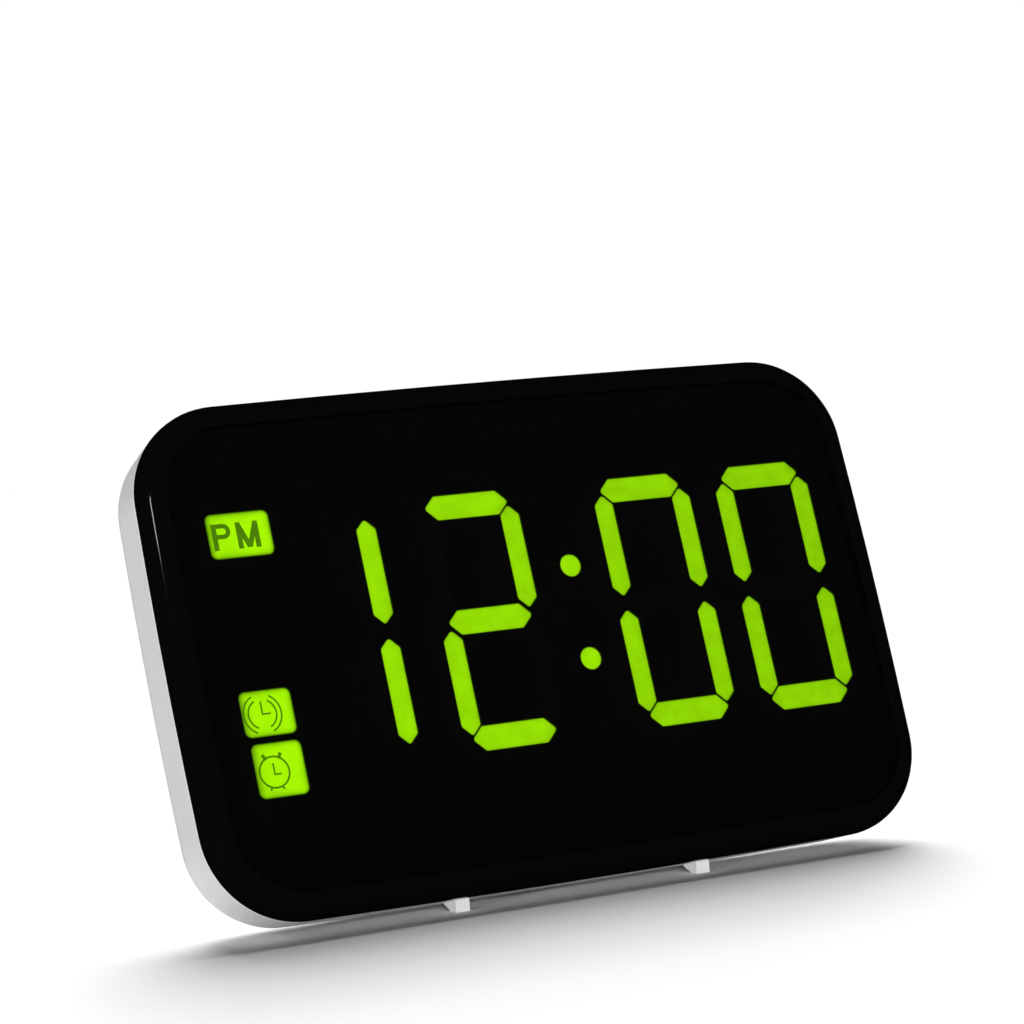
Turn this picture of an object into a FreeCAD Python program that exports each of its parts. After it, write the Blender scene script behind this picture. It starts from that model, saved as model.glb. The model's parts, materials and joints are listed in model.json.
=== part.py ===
import FreeCAD, Part
import math
import os
import re
import Sketcher
from FreeCAD import Placement, Rotation, Vector

# A desk alarm clock with large LED digits. Everything is drawn in the case's own axes: x to the right along
# the face, y up the face, z straight out of it, with zero at the middle of the front. Each finished piece is
# then leaned back and lifted, so that the feet stand on z = 0 and the face looks towards -Y.
SIZES = [
    # the whole clock
    ("lean", 16.0, "degrees that the face leans back"),
    ("face_height", 42.7, "height of the middle of the face above the table"),
    ("face_forward", 11.81, "distance of the middle of the face in front of the middle of the footprint"),
    ("case_width", 126.8, "across the bowed sides"),
    ("case_height", 81.8, "up the face, across the bowed top and bottom"),
    ("side_bow", 0.8, "how far each side bulges"),
    ("top_bow", 0.6, "how far the top and bottom bulge"),
    ("case_corner", 15.0, "corner radius of the outline"),
    ("past", 1.0, "how far a cutting shape runs past what it cuts"),
    ("sunk", 0.5, "how far a joined shape is sunk into its neighbour"),
    # front lens, mask and display
    ("lens_depth", 4.0, "front to the parting line"),
    ("lens_front", 2.2, "thickness of the lens in front of the display"),
    ("lens_wall", 1.6, "thickness of the lens's rim"),
    ("lens_roll", 3.6, "radius of the rolled front edge"),
    ("window_inset", 4.0, "smoked window's edge inside the outline"),
    ("mask_front", 2.25, "depth of the mask's front"),
    ("mask_back", 2.45, "depth of the mask's back"),
    ("mask_inset", 2.0, "mask edge inside the outline"),
    ("frame_inset", 1.75, "display frame's edge inside the outline"),
    ("display_front", 2.5, "depth of the frame, reflector and inserts"),
    ("insert_back", 5.0, "depth of the back of the light inserts"),
    ("cavity_gap", 0.05, "room round each light insert"),
    ("reflector_left", -55.5, "reflector's left side"),
    ("reflector_right", 56.8, "reflector's right side"),
    ("reflector_bottom", -23.6, "reflector's lower side"),
    ("reflector_top", 25.0, "reflector's upper side"),
    ("reflector_gap", 0.2, "room round the reflector in the frame"),
    ("board_front", 8.5, "depth of the circuit board's front"),
    ("board_back", 10.1, "depth of the circuit board's back"),
    ("board_margin", 0.5, "board's edge inside the reflector's"),
    ("tab_half_width", 12.0, "board's tab under the snooze switch"),
    ("tab_top", 31.0, "board's tab under the snooze switch"),
    ("led_length", 2.0, "LED chip"),
    ("led_width", 1.25, "LED chip"),
    ("led_height", 0.8, "LED chip"),
    # digits
    ("digit_middle", 1.85, "height of the digits' middle"),
    ("digit_half_width", 7.22, "middle of a digit to its upright segments' middles"),
    ("digit_half_height", 18.74, "middle of a digit to its top segment's middle"),
    ("upright_middle", 9.62, "middle of a digit to an upright segment's middle"),
    ("upright_length", 17.15, "tip to tip"),
    ("upright_width", 3.4, "width of an upright segment"),
    ("level_length", 14.95, "tip to tip"),
    ("level_width", 4.0, "width of a level segment"),
    ("segment_round", 0.55, "rounding of a segment's corners"),
    ("first_digit", -33.8, "middle of the tens of hours"),
    ("second_digit", -8.49, "middle of the hours"),
    ("third_digit", 23.11, "middle of the tens of minutes"),
    ("fourth_digit", 45.93, "middle of the minutes"),
    ("colon_x", 7.55, "middle of the colon"),
    ("colon_y", 1.3, "middle of the colon"),
    ("colon_half_gap", 7.7, "middle of the colon to one of its dots"),
    ("colon_radius", 1.85, "radius of a colon dot"),
    # light windows
    ("window_round", 1.1, "corner radius of the light windows"),
    ("pm_left", -53.0, "PM window"),
    ("pm_right", -42.4, "PM window"),
    ("pm_bottom", 16.0, "PM window"),
    ("pm_top", 23.2, "PM window"),
    ("ring_left", -53.2, "ringing window"),
    ("ring_right", -44.6, "ringing window"),
    ("ring_bottom", -12.1, "ringing window"),
    ("ring_top", -4.9, "ringing window"),
    ("bell_left", -52.8, "alarm-on window"),
    ("bell_right", -44.5, "alarm-on window"),
    ("bell_bottom", -21.6, "alarm-on window"),
    ("bell_top", -13.1, "alarm-on window"),
    # rear shell
    ("shell_back", 19.0, "depth of the shell's back"),
    ("shell_wall", 1.8, "wall thickness"),
    ("shell_draft", 5.0, "degrees of draft on the sides"),
    ("shell_round", 6.0, "rounding between the sides and the back"),
    ("seam_chamfer", 0.3, "groove along the parting line"),
    ("tower_x", 50.0, "case screws, left and right of the middle"),
    ("tower_y", 28.8, "case screws, above and below the middle"),
    ("tower_radius", 3.2, "screw tower"),
    ("tower_front", 13.0, "depth where a tower meets the frame's boss"),
    ("boss_radius", 3.0, "boss on the display frame"),
    ("boss_gap", 0.05, "between a boss and its tower"),
    ("screw_radius", 1.2, "case screw's shank"),
    ("screw_pilot", 1.22, "hole in the boss"),
    ("screw_clearance", 1.4, "hole through the tower"),
    ("screw_tip", 6.0, "depth of a case screw's tip"),
    ("head_seat", 15.6, "depth of the seat under a case screw's head"),
    ("head_radius", 2.3, "case screw's head"),
    ("head_height", 1.4, "case screw's head"),
    ("head_bore", 2.6, "recess for the head"),
    # battery housing
    ("hump_half_width", 33.0, "battery housing, middle to side"),
    ("hump_bottom", -33.6, "battery housing's lower side"),
    ("hump_top", 4.2, "battery housing's upper side"),
    ("hump_back", 34.5, "depth of the battery housing's back"),
    ("hump_corner", 4.0, "rounding of the housing's corners"),
    ("hump_edge", 1.2, "rounding of the housing's back edge"),
    ("bay_half_width", 24.8, "battery bay, middle to end"),
    ("bay_bottom", -31.1, "battery bay's lower side"),
    ("bay_top", 1.7, "battery bay's upper side"),
    ("bay_floor", 20.4, "depth of the battery bay's floor"),
    ("door_half_width", 27.8, "battery door, middle to side"),
    ("door_bottom", -32.1, "battery door's lower edge"),
    ("door_top", 2.7, "battery door's upper edge"),
    ("door_thickness", 1.7, "battery door"),
    ("door_gap", 0.2, "round the battery door"),
    ("notch_half_width", 6.0, "finger notch above the door"),
    ("notch_depth", 2.9, "finger notch above the door"),
    ("clip_half_width", 4.0, "clip that holds the door shut"),
    ("clip_low", 1.2, "clip's lower side below the bay's top"),
    ("clip_gap", 0.15, "between the clip and the bay's top"),
    ("clip_reach", 2.6, "how far the clip reaches into the bay"),
    ("rib_pitch", 16.0, "rib to rib on the door's inside"),
    ("rib_thickness", 1.0, "rib on the door's inside"),
    ("rib_height", 1.2, "rib on the door's inside"),
    ("rib_low", 2.0, "ribs' lower end above the bay's bottom"),
    ("rib_high", 3.0, "ribs' upper end below the bay's top"),
    ("grip_half_width", 7.0, "finger grooves across the door"),
    ("grip_top", 2.4, "first groove below the door's top"),
    ("grip_width", 0.6, "finger groove"),
    ("grip_pitch", 1.4, "groove to groove"),
    ("grip_depth", 0.35, "finger groove"),
    ("pin_end_gap", 0.2, "beyond the end of a pivot pin"),
    ("pin_length", 1.4, "door pivot pin beyond the door's side"),
    ("pin_radius", 0.8, "door pivot pin"),
    ("pin_fit", 0.05, "radial room round a pivot pin"),
    ("cell_length", 43.7, "AAA cell without its nub"),
    ("cell_radius", 5.25, "AAA cell"),
    ("cell_round", 0.6, "rounding of a cell's ends"),
    ("cell_nub", 0.8, "length of the positive nub"),
    ("nub_radius", 1.9, "positive nub"),
    ("cell_pitch", 10.9, "cell to cell"),
    ("cell_depth", 25.9, "depth of the cells' middle"),
    ("contact_thickness", 0.4, "battery contact plate"),
    ("contact_half_size", 4.0, "battery contact plate"),
    ("spring_radius", 3.0, "battery spring at its base"),
    ("spring_wire", 0.35, "battery spring's wire radius"),
    ("spring_turns", 4.0, "battery spring"),
    ("spring_taper", 0.35, "how much smaller each turn is"),
    ("spring_gap", 0.05, "between a spring and what it touches"),
    ("link_turn", 40.0, "degrees from one link between turns to the next"),
    # feet
    ("foot_x", 21.5, "front feet, left and right of the middle"),
    ("foot_width", 2.4, "front foot"),
    ("foot_root", -39.2, "height up the face where a front foot starts"),
    ("foot_depth", 5.9, "depth of a front foot's front"),
    ("foot_land", 1.8, "length of a front foot's flat"),
    ("foot_flare", 3.6, "how far the sloping back of a front foot runs back"),
    ("rest_x", 27.0, "rear rests, left and right of the middle"),
    ("rest_width", 6.0, "rear rest"),
    ("rest_front", 28.6, "depth of a rear rest's front"),
    ("rest_back", 32.6, "depth of a rear rest's back"),
    ("rest_slope", 1.0, "how much narrower a rest's flat is at each end"),
    # snooze bar
    ("bar_half_width", 21.8, "snooze bar"),
    ("bar_front", 6.2, "depth of the snooze bar's front"),
    ("bar_back", 10.4, "depth of the snooze bar's back"),
    ("bar_top", 41.2, "top of the snooze bar"),
    ("bar_gap", 0.15, "round the snooze bar in its slot"),
    ("bar_flange_top", 38.0, "top of the flange that keeps the bar in"),
    ("bar_flange_bottom", 36.6, "underside of the flange"),
    ("bar_flange_out", 1.2, "how far the flange reaches past the bar"),
    ("bar_flange_deep", 1.0, "how far the flange reaches past the bar's front and back"),
    ("bar_round", 0.7, "rounding of the snooze bar's top"),
    ("slot_depth", 8.0, "how far the snooze bar's slot is cut down"),
    ("snooze_half_width", 3.0, "snooze switch"),
    ("snooze_half_depth", 2.2, "snooze switch"),
    ("snooze_top", 34.2, "top of the snooze switch"),
    ("snooze_floor", 31.8, "bottom of the well in the snooze switch"),
    ("snooze_well", 1.65, "radius of the well in the snooze switch"),
    ("snooze_stem", 1.5, "radius of the snooze switch's plunger"),
    ("stem_low", 33.0, "lower end of the snooze switch's plunger"),
    # setting buttons
    ("button_y", 20.0, "height of the row of buttons"),
    ("button_pitch", 22.0, "button to button"),
    ("button_half_width", 5.0, "button cap"),
    ("button_half_height", 2.5, "button cap"),
    ("button_gap", 0.15, "round a button in the shell"),
    ("button_round", 0.8, "rounding of a button's cap"),
    ("button_back", 20.2, "depth of a button's back"),
    ("flange_out", 1.0, "how far a button's flange reaches past its cap"),
    ("flange_gap", 0.05, "between a flange and the shell"),
    ("flange_thickness", 1.0, "button flange"),
    ("pusher_radius", 1.5, "rib between a button and its switch"),
    # switches
    ("tact_size", 6.0, "side of a push switch"),
    ("tact_height", 3.5, "push switch"),
    ("tact_hole", 1.85, "hole in a push switch"),
    ("tact_floor", 0.6, "floor under the hole in a push switch"),
    ("plunger_radius", 1.75, "push switch's plunger"),
    ("plunger_top", 5.0, "height of a plunger above the board"),
    ("plunger_foot", 1.5, "height of a plunger's lower end above the board"),
    ("slide_x", 48.5, "sound-control switch"),
    ("slide_y", 8.0, "sound-control switch"),
    ("slide_half_travel", 1.0, "sound-control switch, middle to end of travel"),
    ("slide_half_width", 2.2, "sound-control switch's case"),
    ("slide_half_height", 4.4, "sound-control switch's case"),
    ("slide_tall", 4.6, "sound-control switch's case above the board"),
    ("track_floor", 2.0, "height of the lever's track above the board"),
    ("lever_half_width", 0.75, "switch lever"),
    ("lever_half_height", 0.9, "switch lever"),
    ("lever_gap", 0.1, "round the lever in its track"),
    ("lever_low", 2.2, "height of the lever's foot above the board"),
    ("lever_high", 5.5, "height of the lever's end above the board"),
    ("socket_fit", 0.02, "round the lever in the knob"),
    ("neck_low", 4.8, "height of the knob's neck above the board"),
    ("knob_half_width", 1.5, "switch knob"),
    ("knob_half_height", 1.6, "switch knob"),
    ("knob_gap", 0.15, "round the knob in the shell"),
    ("knob_proud", 0.9, "how far the knob stands out of the shell"),
    ("knob_round", 0.4, "rounding of the knob"),
    ("shoe_half_width", 2.6, "plate that keeps the knob in"),
    ("shoe_half_height", 3.6, "plate that keeps the knob in"),
    ("shoe_gap", 0.1, "between that plate and the shell"),
    ("shoe_thickness", 0.9, "plate that keeps the knob in"),
    # board parts
    ("usb_x", -48.5, "USB inlet"),
    ("usb_y", 8.0, "USB inlet"),
    ("usb_half_width", 1.45, "USB inlet, across its narrow side"),
    ("usb_half_height", 3.9, "USB inlet, along its long side"),
    ("usb_back", 18.2, "depth of the inlet's mouth"),
    ("usb_hole_gap", 0.2, "round the inlet in the shell"),
    ("usb_wall", 0.35, "sheet metal of the inlet"),
    ("usb_inside", 5.6, "how deep the inlet is"),
    ("tongue_half_thickness", 0.3, "inlet's tongue"),
    ("tongue_half_length", 2.6, "inlet's tongue"),
    ("tongue_setback", 1.0, "inlet's mouth to the tongue's end"),
    ("chip_half_size", 6.0, "controller chip"),
    ("chip_y", -2.0, "controller chip"),
    ("chip_height", 1.6, "controller chip"),
    ("chip_round", 0.3, "controller chip's back edge"),
    ("crystal_x", 9.0, "crystal's left end"),
    ("crystal_y", -12.0, "crystal"),
    ("crystal_length", 6.0, "crystal"),
    ("crystal_radius", 1.05, "crystal"),
    ("crystal_gap", 0.05, "between the crystal and the board"),
    ("large_can_x", -18.0, "large capacitor"),
    ("large_can_y", -12.0, "large capacitor"),
    ("large_can_height", 6.0, "large capacitor"),
    ("large_can_radius", 2.5, "large capacitor"),
    ("left_can_x", -25.0, "small capacitor on the left"),
    ("left_can_y", -12.0, "small capacitor on the left"),
    ("right_can_x", 24.0, "small capacitor on the right"),
    ("right_can_y", -4.0, "small capacitor on the right"),
    ("small_can_height", 5.4, "small capacitor"),
    ("small_can_radius", 2.0, "small capacitor"),
    ("can_round", 0.4, "rounding of a capacitor's ends"),
    ("buzzer_x", 0.0, "buzzer"),
    ("buzzer_y", 10.6, "buzzer"),
    ("buzzer_radius", 6.0, "buzzer"),
    ("buzzer_height", 6.3, "buzzer"),
    ("buzzer_hole", 1.2, "hole in the buzzer"),
    ("buzzer_hole_depth", 2.0, "hole in the buzzer"),
    ("grille_hole", 0.7, "sound hole"),
    ("grille_ring", 2.4, "ring of sound holes"),
    ("microphone_x", 22.0, "microphone"),
    ("microphone_y", 11.0, "microphone"),
    ("microphone_radius", 3.0, "microphone"),
    ("microphone_height", 5.2, "microphone in its rubber sleeve"),
    ("capsule_setback", 1.0, "sleeve's end to the microphone"),
    ("capsule_fit", 0.02, "round the microphone in its sleeve"),
    ("microphone_hole", 0.8, "hole in the shell"),
    ("sleeve_wall", 0.8, "microphone's rubber sleeve"),
    ("board_screw_radius", 0.95, "board screw's shank"),
    ("board_screw_length", 4.0, "board screw below the board's front"),
    ("board_screw_head", 1.8, "board screw's head"),
    ("board_head_height", 1.1, "board screw's head"),
    ("board_hole_gap", 0.1, "round a screw in the board"),
    ("pilot_fit", 0.02, "round a screw in the reflector"),
    ("pilot_spare", 0.3, "how much deeper a pilot hole is than its screw"),
    ("board_screw_left", 35.0, "board screws on the left"),
    ("board_screw_right", 34.5, "board screws on the right"),
    ("board_screw_near", 12.0, "board screws at lower left and upper right"),
    ("board_screw_far", 14.0, "board screws at upper left and lower right"),
    ("recess_arm", 0.6, "half length of a screw's cross, as a part of its head's radius"),
    ("recess_wide", 0.13, "half width of a screw's cross, as a part of its head's radius"),
    ("recess_depth", 0.7, "depth of a screw's cross"),
    ("lead_x", -22.0, "battery leads where they leave the bay"),
    ("lead_y", 0.64, "battery leads, above and below the middle"),
    ("lead_hole_half_width", 1.6, "hole for the battery leads"),
    ("lead_hole_half_height", 1.2, "hole for the battery leads"),
    ("lead_start", 0.2, "bay's floor to the leads' ends"),
    ("lead_rise", 2.2, "how far the leads run straight in from the shell's inside"),
    ("lead_turn", 4.0, "how far the leads have moved across after their first bend"),
    ("lead_span", 7.0, "how far the leads move across"),
    ("lead_drop", 1.6, "depth of that first bend"),
    ("lead_end", 2.6, "height above the board where the leads turn down to it"),
    ("lead_radius", 0.5, "battery lead with its cover"),
]
WORDS = {alias for alias, _, _ in SIZES}

DOC = FreeCAD.newDocument("AlarmClock")
SHEET = DOC.addObject("Spreadsheet::Sheet", "dims")
for row, (alias, size, meaning) in enumerate(SIZES, 1):
    SHEET.set(f"A{row}", alias)
    SHEET.set(f"B{row}", str(size))
    SHEET.set(f"C{row}", meaning)
    SHEET.setAlias(f"B{row}", alias)
DOC.recompute()
PIECES = []


# ---- formulas ----

def formula(text):
    """Turns the sheet's words in a formula into references to its cells."""
    return re.sub(r"[a-z_]+", lambda word: f"dims.{word[0]}" if word[0] in WORDS else word[0], str(text))


def amount(text):
    return float(SHEET.evalExpression(formula(text)))


def bind(thing, field, text):
    thing.setExpression(field, formula(text))


# ---- whole objects ----

def finish(piece, node):
    """Names a piece, and leans it back and lifts it with the rest of the case."""
    if not piece.isDerivedFrom("PartDesign::Body"):
        loose = piece
        piece = DOC.addObject("Part::Compound", node)
        piece.Links = [loose]
    piece.Label = node
    piece.Placement = Placement(Vector(0, 0, 0), Rotation(Vector(1, 0, 0), 90 - amount("lean")))
    bind(piece, "Placement.Rotation.Angle", "90 - lean")
    bind(piece, "Placement.Base.y", "0 - face_forward")
    bind(piece, "Placement.Base.z", "face_height")
    PIECES.append(piece)
    return piece


def block(name, x, y, z):
    """A box between a low and a high formula on each axis."""
    box = DOC.addObject("Part::Box", name)
    for side, axis, (low, high) in zip(("Length", "Width", "Height"), "xyz", (x, y, z)):
        bind(box, side, f"({high}) - ({low})")
        bind(box, f"Placement.Base.{axis}", low)
    return box


AIMS = {"x": Rotation(Vector(0, 1, 0), 90), "y": Rotation(Vector(1, 0, 0), -90), "z": Rotation()}


def rod(name, start, length, radius, axis="z"):
    """A cylinder from a start point, along one of the case's axes."""
    cylinder = DOC.addObject("Part::Cylinder", name)
    cylinder.Placement = Placement(Vector(0, 0, 0), AIMS[axis])
    bind(cylinder, "Radius", radius)
    bind(cylinder, "Height", length)
    for way, text in zip("xyz", start):
        bind(cylinder, f"Placement.Base.{way}", text)
    return cylinder


def joined(name, parts):
    fuse = DOC.addObject("Part::MultiFuse", name)
    fuse.Shapes = parts
    return fuse


def together(name, parts):
    """Separate solids that share one node."""
    compound = DOC.addObject("Part::Compound", name)
    compound.Links = parts
    return compound


def less(name, base, tool):
    cut = DOC.addObject("Part::Cut", name)
    cut.Base = base
    cut.Tool = tool
    return cut


def rounded(name, base, radius, wanted):
    """Rounds the edges of a Part object that a test picks."""
    DOC.recompute()
    fillet = DOC.addObject("Part::Fillet", name)
    fillet.Base = base
    size = amount(radius)
    fillet.Edges = [(number, size, size) for number, edge in enumerate(base.Shape.Edges, 1) if wanted(edge)]
    return fillet


def drawn(name, shape):
    """A solid that is worked out from the sheet by this script."""
    feature = DOC.addObject("Part::Feature", name)
    feature.Shape = shape
    return feature


# ---- bodies and sketches ----

def new_body(name):
    return DOC.addObject("PartDesign::Body", name)


def sketch_on(body, name, role, level):
    """A sketch on one of the body's origin planes, moved along that plane's normal."""
    sketch = body.newObject("Sketcher::SketchObject", name)
    plane = next(item for item in body.Origin.OriginFeatures if item.Role == role)
    sketch.AttachmentSupport = (plane, [""])
    sketch.MapMode = "FlatFace"
    bind(sketch, "AttachmentOffset.Base.z", level)
    return sketch


def hold(sketch, kind, element, point, text):
    """Fixes one coordinate of a point, counted from the sketch's origin."""
    value = amount(text)
    index = sketch.addConstraint(Sketcher.Constraint(kind, -1, 1, element, point, value))
    bind(sketch, f"Constraints[{index}]", text)


def size_radius(sketch, element, text):
    index = sketch.addConstraint(Sketcher.Constraint("Radius", element, amount(text)))
    bind(sketch, f"Constraints[{index}]", text)


def draw_polygon(sketch, corners):
    """A closed loop of straight sides. Each corner is a pair of formulas."""
    first = sketch.GeometryCount
    count = len(corners)
    points = [Vector(amount(x), amount(y), 0) for x, y in corners]
    for index, point in enumerate(points):
        sketch.addGeometry(Part.LineSegment(point, points[(index + 1) % count]))
    for index, (x, y) in enumerate(corners):
        following = first + (index + 1) % count
        sketch.addConstraint(Sketcher.Constraint("Coincident", first + index, 2, following, 1))
        hold(sketch, "DistanceX", first + index, 1, x)
        hold(sketch, "DistanceY", first + index, 1, y)


def around(x, half_width, y, half_height):
    """The lows and highs of a rectangle round a middle."""
    across = (f"{x} - ({half_width})", f"{x} + ({half_width})")
    up = (f"{y} - ({half_height})", f"{y} + ({half_height})")
    return across, up


def draw_rectangle(sketch, x, y):
    draw_polygon(sketch, [(x[0], y[0]), (x[1], y[0]), (x[1], y[1]), (x[0], y[1])])


def draw_circle(sketch, x, y, radius):
    middle = Vector(amount(x), amount(y), 0)
    element = sketch.addGeometry(Part.Circle(middle, Vector(0, 0, 1), amount(radius)))
    hold(sketch, "DistanceX", element, 3, x)
    hold(sketch, "DistanceY", element, 3, y)
    size_radius(sketch, element, radius)


def draw_outline(sketch, inset):
    """The case's outline: four bowed sides and four corner arcs, all tangent, drawn inside by an inset."""
    flat = amount(inset)
    corner = amount("case_corner") - flat
    side_text = "case_height ^ 2 / (8 * side_bow)"
    top_text = "case_width ^ 2 / (8 * top_bow)"
    side = amount(side_text)
    top = amount(top_text)
    side_middle = Vector(amount("case_width / 2") - side, 0, 0)
    top_middle = Vector(0, amount("case_height / 2") - top, 0)
    apart = top_middle - side_middle
    side_reach = side - flat - corner
    top_reach = top - flat - corner
    along = (side_reach ** 2 - top_reach ** 2 + apart.Length ** 2) / (2 * apart.Length)
    across = math.sqrt(side_reach ** 2 - along ** 2)
    step = apart / apart.Length
    corner_middle = side_middle + step * along + Vector(step.y, -step.x, 0) * across
    if corner_middle.x < 0:
        corner_middle = side_middle + step * along - Vector(step.y, -step.x, 0) * across
    low = math.atan2(corner_middle.y - side_middle.y, corner_middle.x - side_middle.x)
    high = math.atan2(corner_middle.y - top_middle.y, corner_middle.x - top_middle.x)
    half = math.pi
    arcs = [(side_middle, side - flat, -low, low), (corner_middle, corner, low, high),
            (top_middle, top - flat, high, half - high)]
    arcs.append((Vector(-corner_middle.x, corner_middle.y, 0), corner, half - high, half - low))
    arcs += [(-middle, radius, start + half, end + half) for middle, radius, start, end in arcs]
    for middle, radius, start, end in arcs:
        sketch.addGeometry(Part.ArcOfCircle(Part.Circle(middle, Vector(0, 0, 1), radius), start, end))
    for index in range(8):
        sketch.addConstraint(Sketcher.Constraint("Tangent", index, 2, (index + 1) % 8, 1))
    for one, other in ((1, 3), (1, 5), (1, 7), (0, 4), (2, 6)):
        sketch.addConstraint(Sketcher.Constraint("Equal", one, other))
    for element, axis in ((0, -1), (4, -1), (2, -2), (6, -2)):
        sketch.addConstraint(Sketcher.Constraint("PointOnObject", element, 3, axis))
    size_radius(sketch, 1, f"case_corner - ({inset})")
    size_radius(sketch, 0, f"{side_text} - ({inset})")
    size_radius(sketch, 2, f"{top_text} - ({inset})")
    hold(sketch, "DistanceX", 0, 3, f"case_width / 2 - {side_text}")
    hold(sketch, "DistanceX", 4, 3, f"{side_text} - case_width / 2")
    hold(sketch, "DistanceY", 2, 3, f"case_height / 2 - {top_text}")
    hold(sketch, "DistanceY", 6, 3, f"{top_text} - case_height / 2")


def extruded(body, kind, name, high, low, draw, taper="0"):
    """A pad or pocket between two levels of z, its profile drawn by a function at the higher level."""
    sketch = sketch_on(body, name + "_sketch", "XY_Plane", high)
    draw(sketch)
    before = body.Shape.Volume if kind == "Pocket" else 0
    feature = body.newObject("PartDesign::" + kind, name)
    feature.Profile = sketch
    feature.Reversed = kind == "Pad"
    bind(feature, "Length", f"({high}) - ({low})")
    bind(feature, "TaperAngle", taper)
    DOC.recompute()
    if kind == "Pocket" and not feature.Shape.Volume < before:
        raise RuntimeError(f"{name} cuts nothing")
    return feature


def sideways(body, kind, name, role, level, length, draw, reverse=False, both_ways=False):
    """A pad or pocket drawn on one of the upright planes."""
    sketch = sketch_on(body, name + "_sketch", role, level)
    draw(sketch)
    before = body.Shape.Volume
    feature = body.newObject("PartDesign::" + kind, name)
    feature.Profile = sketch
    feature.Midplane = both_ways
    feature.Reversed = reverse
    bind(feature, "Length", length)
    DOC.recompute()
    if kind == "Pocket" and not feature.Shape.Volume < before:
        raise RuntimeError(f"{name} cuts nothing")
    return feature


def dress(body, kind, name, size, wanted):
    """A fillet or chamfer on the edges that a test picks."""
    DOC.recompute()
    base = body.Tip
    names = [f"Edge{number}" for number, edge in enumerate(base.Shape.Edges, 1) if wanted(edge)]
    feature = body.newObject("PartDesign::" + kind, name)
    feature.Base = (base, names)
    bind(feature, "Radius" if kind == "Fillet" else "Size", size)
    DOC.recompute()
    return feature


# ---- tests that pick edges ----

def near(one, other):
    return abs(one - other) < 0.001


def lies_at_depth(text):
    """Edges in the plane at this depth behind the front."""
    level = -amount(text)
    return lambda edge: near(edge.BoundBox.ZMin, level) and near(edge.BoundBox.ZMax, level)


def both(first, second):
    return lambda edge: first(edge) and second(edge)


def inside_box(x, y, z):
    """Edges wholly inside a box of numbers."""
    def wanted(edge):
        box = edge.BoundBox
        return (x[0] < box.XMin and box.XMax < x[1] and y[0] < box.YMin and box.YMax < y[1]
                and z[0] < box.ZMin and box.ZMax < z[1])
    return wanted


def is_circle(edge):
    return isinstance(edge.Curve, Part.Circle)


def runs_along(axis):
    """Straight edges along one axis."""
    def wanted(edge):
        if not isinstance(edge.Curve, Part.Line):
            return False
        return near(abs(getattr(edge.Curve.Direction, axis)), 1)
    return wanted


# ---- front lens ----

def make_front_lens():
    """The smoked window, and the opaque black rim that is moulded round it with a rolled edge."""
    def window_edge(sketch):
        draw_outline(sketch, "window_inset")

    window = new_body("front_lens")
    extruded(window, "Pad", "window_blank", "0", "0 - lens_front", window_edge)
    finish(window, "front_lens")
    rim = new_body("front_bezel")
    extruded(rim, "Pad", "rim_blank", "0", "0 - lens_depth", lambda sketch: draw_outline(sketch, "0"))
    extruded(rim, "Pocket", "rim_hollow", "0 - lens_front", "0 - lens_depth - past",
             lambda sketch: draw_outline(sketch, "lens_wall"))
    dress(rim, "Fillet", "rolled_edge", "lens_roll", lies_at_depth("0"))
    extruded(rim, "Pocket", "rim_window", "past", "0 - lens_depth", window_edge)
    finish(rim, "front_bezel")


# ---- light openings ----

def pointed_bar(middle, length, width, upright):
    """The outline of a segment: a bar with a right-angled point at each end."""
    x, y = middle
    half = length / 2
    thick = width / 2
    ends = [(half, 0), (half - thick, thick), (thick - half, thick), (-half, 0), (thick - half, -thick),
            (half - thick, -thick)]
    if upright:
        ends = [(-across, along) for along, across in ends]
    return [Vector(x + dx, y + dy, 0) for dx, dy in ends]


SEGMENT_PLACES = {
    # across and up, in half widths and named heights
    "a": (0, "digit_half_height"), "g": (0, "0"), "d": (0, "0 - digit_half_height"),
    "b": (1, "upright_middle"), "c": (1, "0 - upright_middle"),
    "f": (-1, "upright_middle"), "e": (-1, "0 - upright_middle"),
}
# the hour's first digit has only the two segments of a 1; the display shows 12:00
DIGITS = [("first_digit", "bc", "bc"), ("second_digit", "abcdefg", "abdeg"),
          ("third_digit", "abcdefg", "abcdef"), ("fourth_digit", "abcdefg", "abcdef")]


def segment_outline(digit, segment, grow):
    across, up = SEGMENT_PLACES[segment]
    middle = (amount(digit) + across * amount("digit_half_width"), amount(f"digit_middle + {up}"))
    level = segment in "agd"
    length = amount("level_length" if level else "upright_length")
    width = amount("level_width" if level else "upright_width")
    return pointed_bar(middle, length + 2 * math.sqrt(2) * grow, width + 2 * grow, not level)


def prism(outline, high, low, rounding):
    """An upright solid on an outline, with its upright edges rounded."""
    face = Part.Face(Part.makePolygon(outline + outline[:1]))
    face.translate(Vector(0, 0, low))
    solid = face.extrude(Vector(0, 0, high - low))
    upright = [edge for edge in solid.Edges if runs_along("z")(edge)]
    return solid.makeFillet(rounding, upright)


def segment_prisms(which, high, low, grow=0.0):
    rounding = amount("segment_round") + grow
    return [prism(segment_outline(digit, segment, grow), high, low, rounding)
            for digit, has, lit in DIGITS for segment in has if which(segment in lit)]


def window_prism(window, high, low, grow=0.0):
    left, right, bottom, top = [amount(f"{window}_{side}") for side in ("left", "right", "bottom", "top")]
    outline = [Vector(left - grow, bottom - grow, 0), Vector(right + grow, bottom - grow, 0),
               Vector(right + grow, top + grow, 0), Vector(left - grow, top + grow, 0)]
    return prism(outline, high, low, amount("window_round") + grow)


def colon_middles():
    return [Vector(amount("colon_x"), amount(f"colon_y {sign} colon_half_gap"), 0) for sign in "+-"]


def colon_discs(high, low, grow=0.0):
    radius = amount("colon_radius") + grow
    return [Part.makeCylinder(radius, high - low, middle + Vector(0, 0, low)) for middle in colon_middles()]


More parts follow.
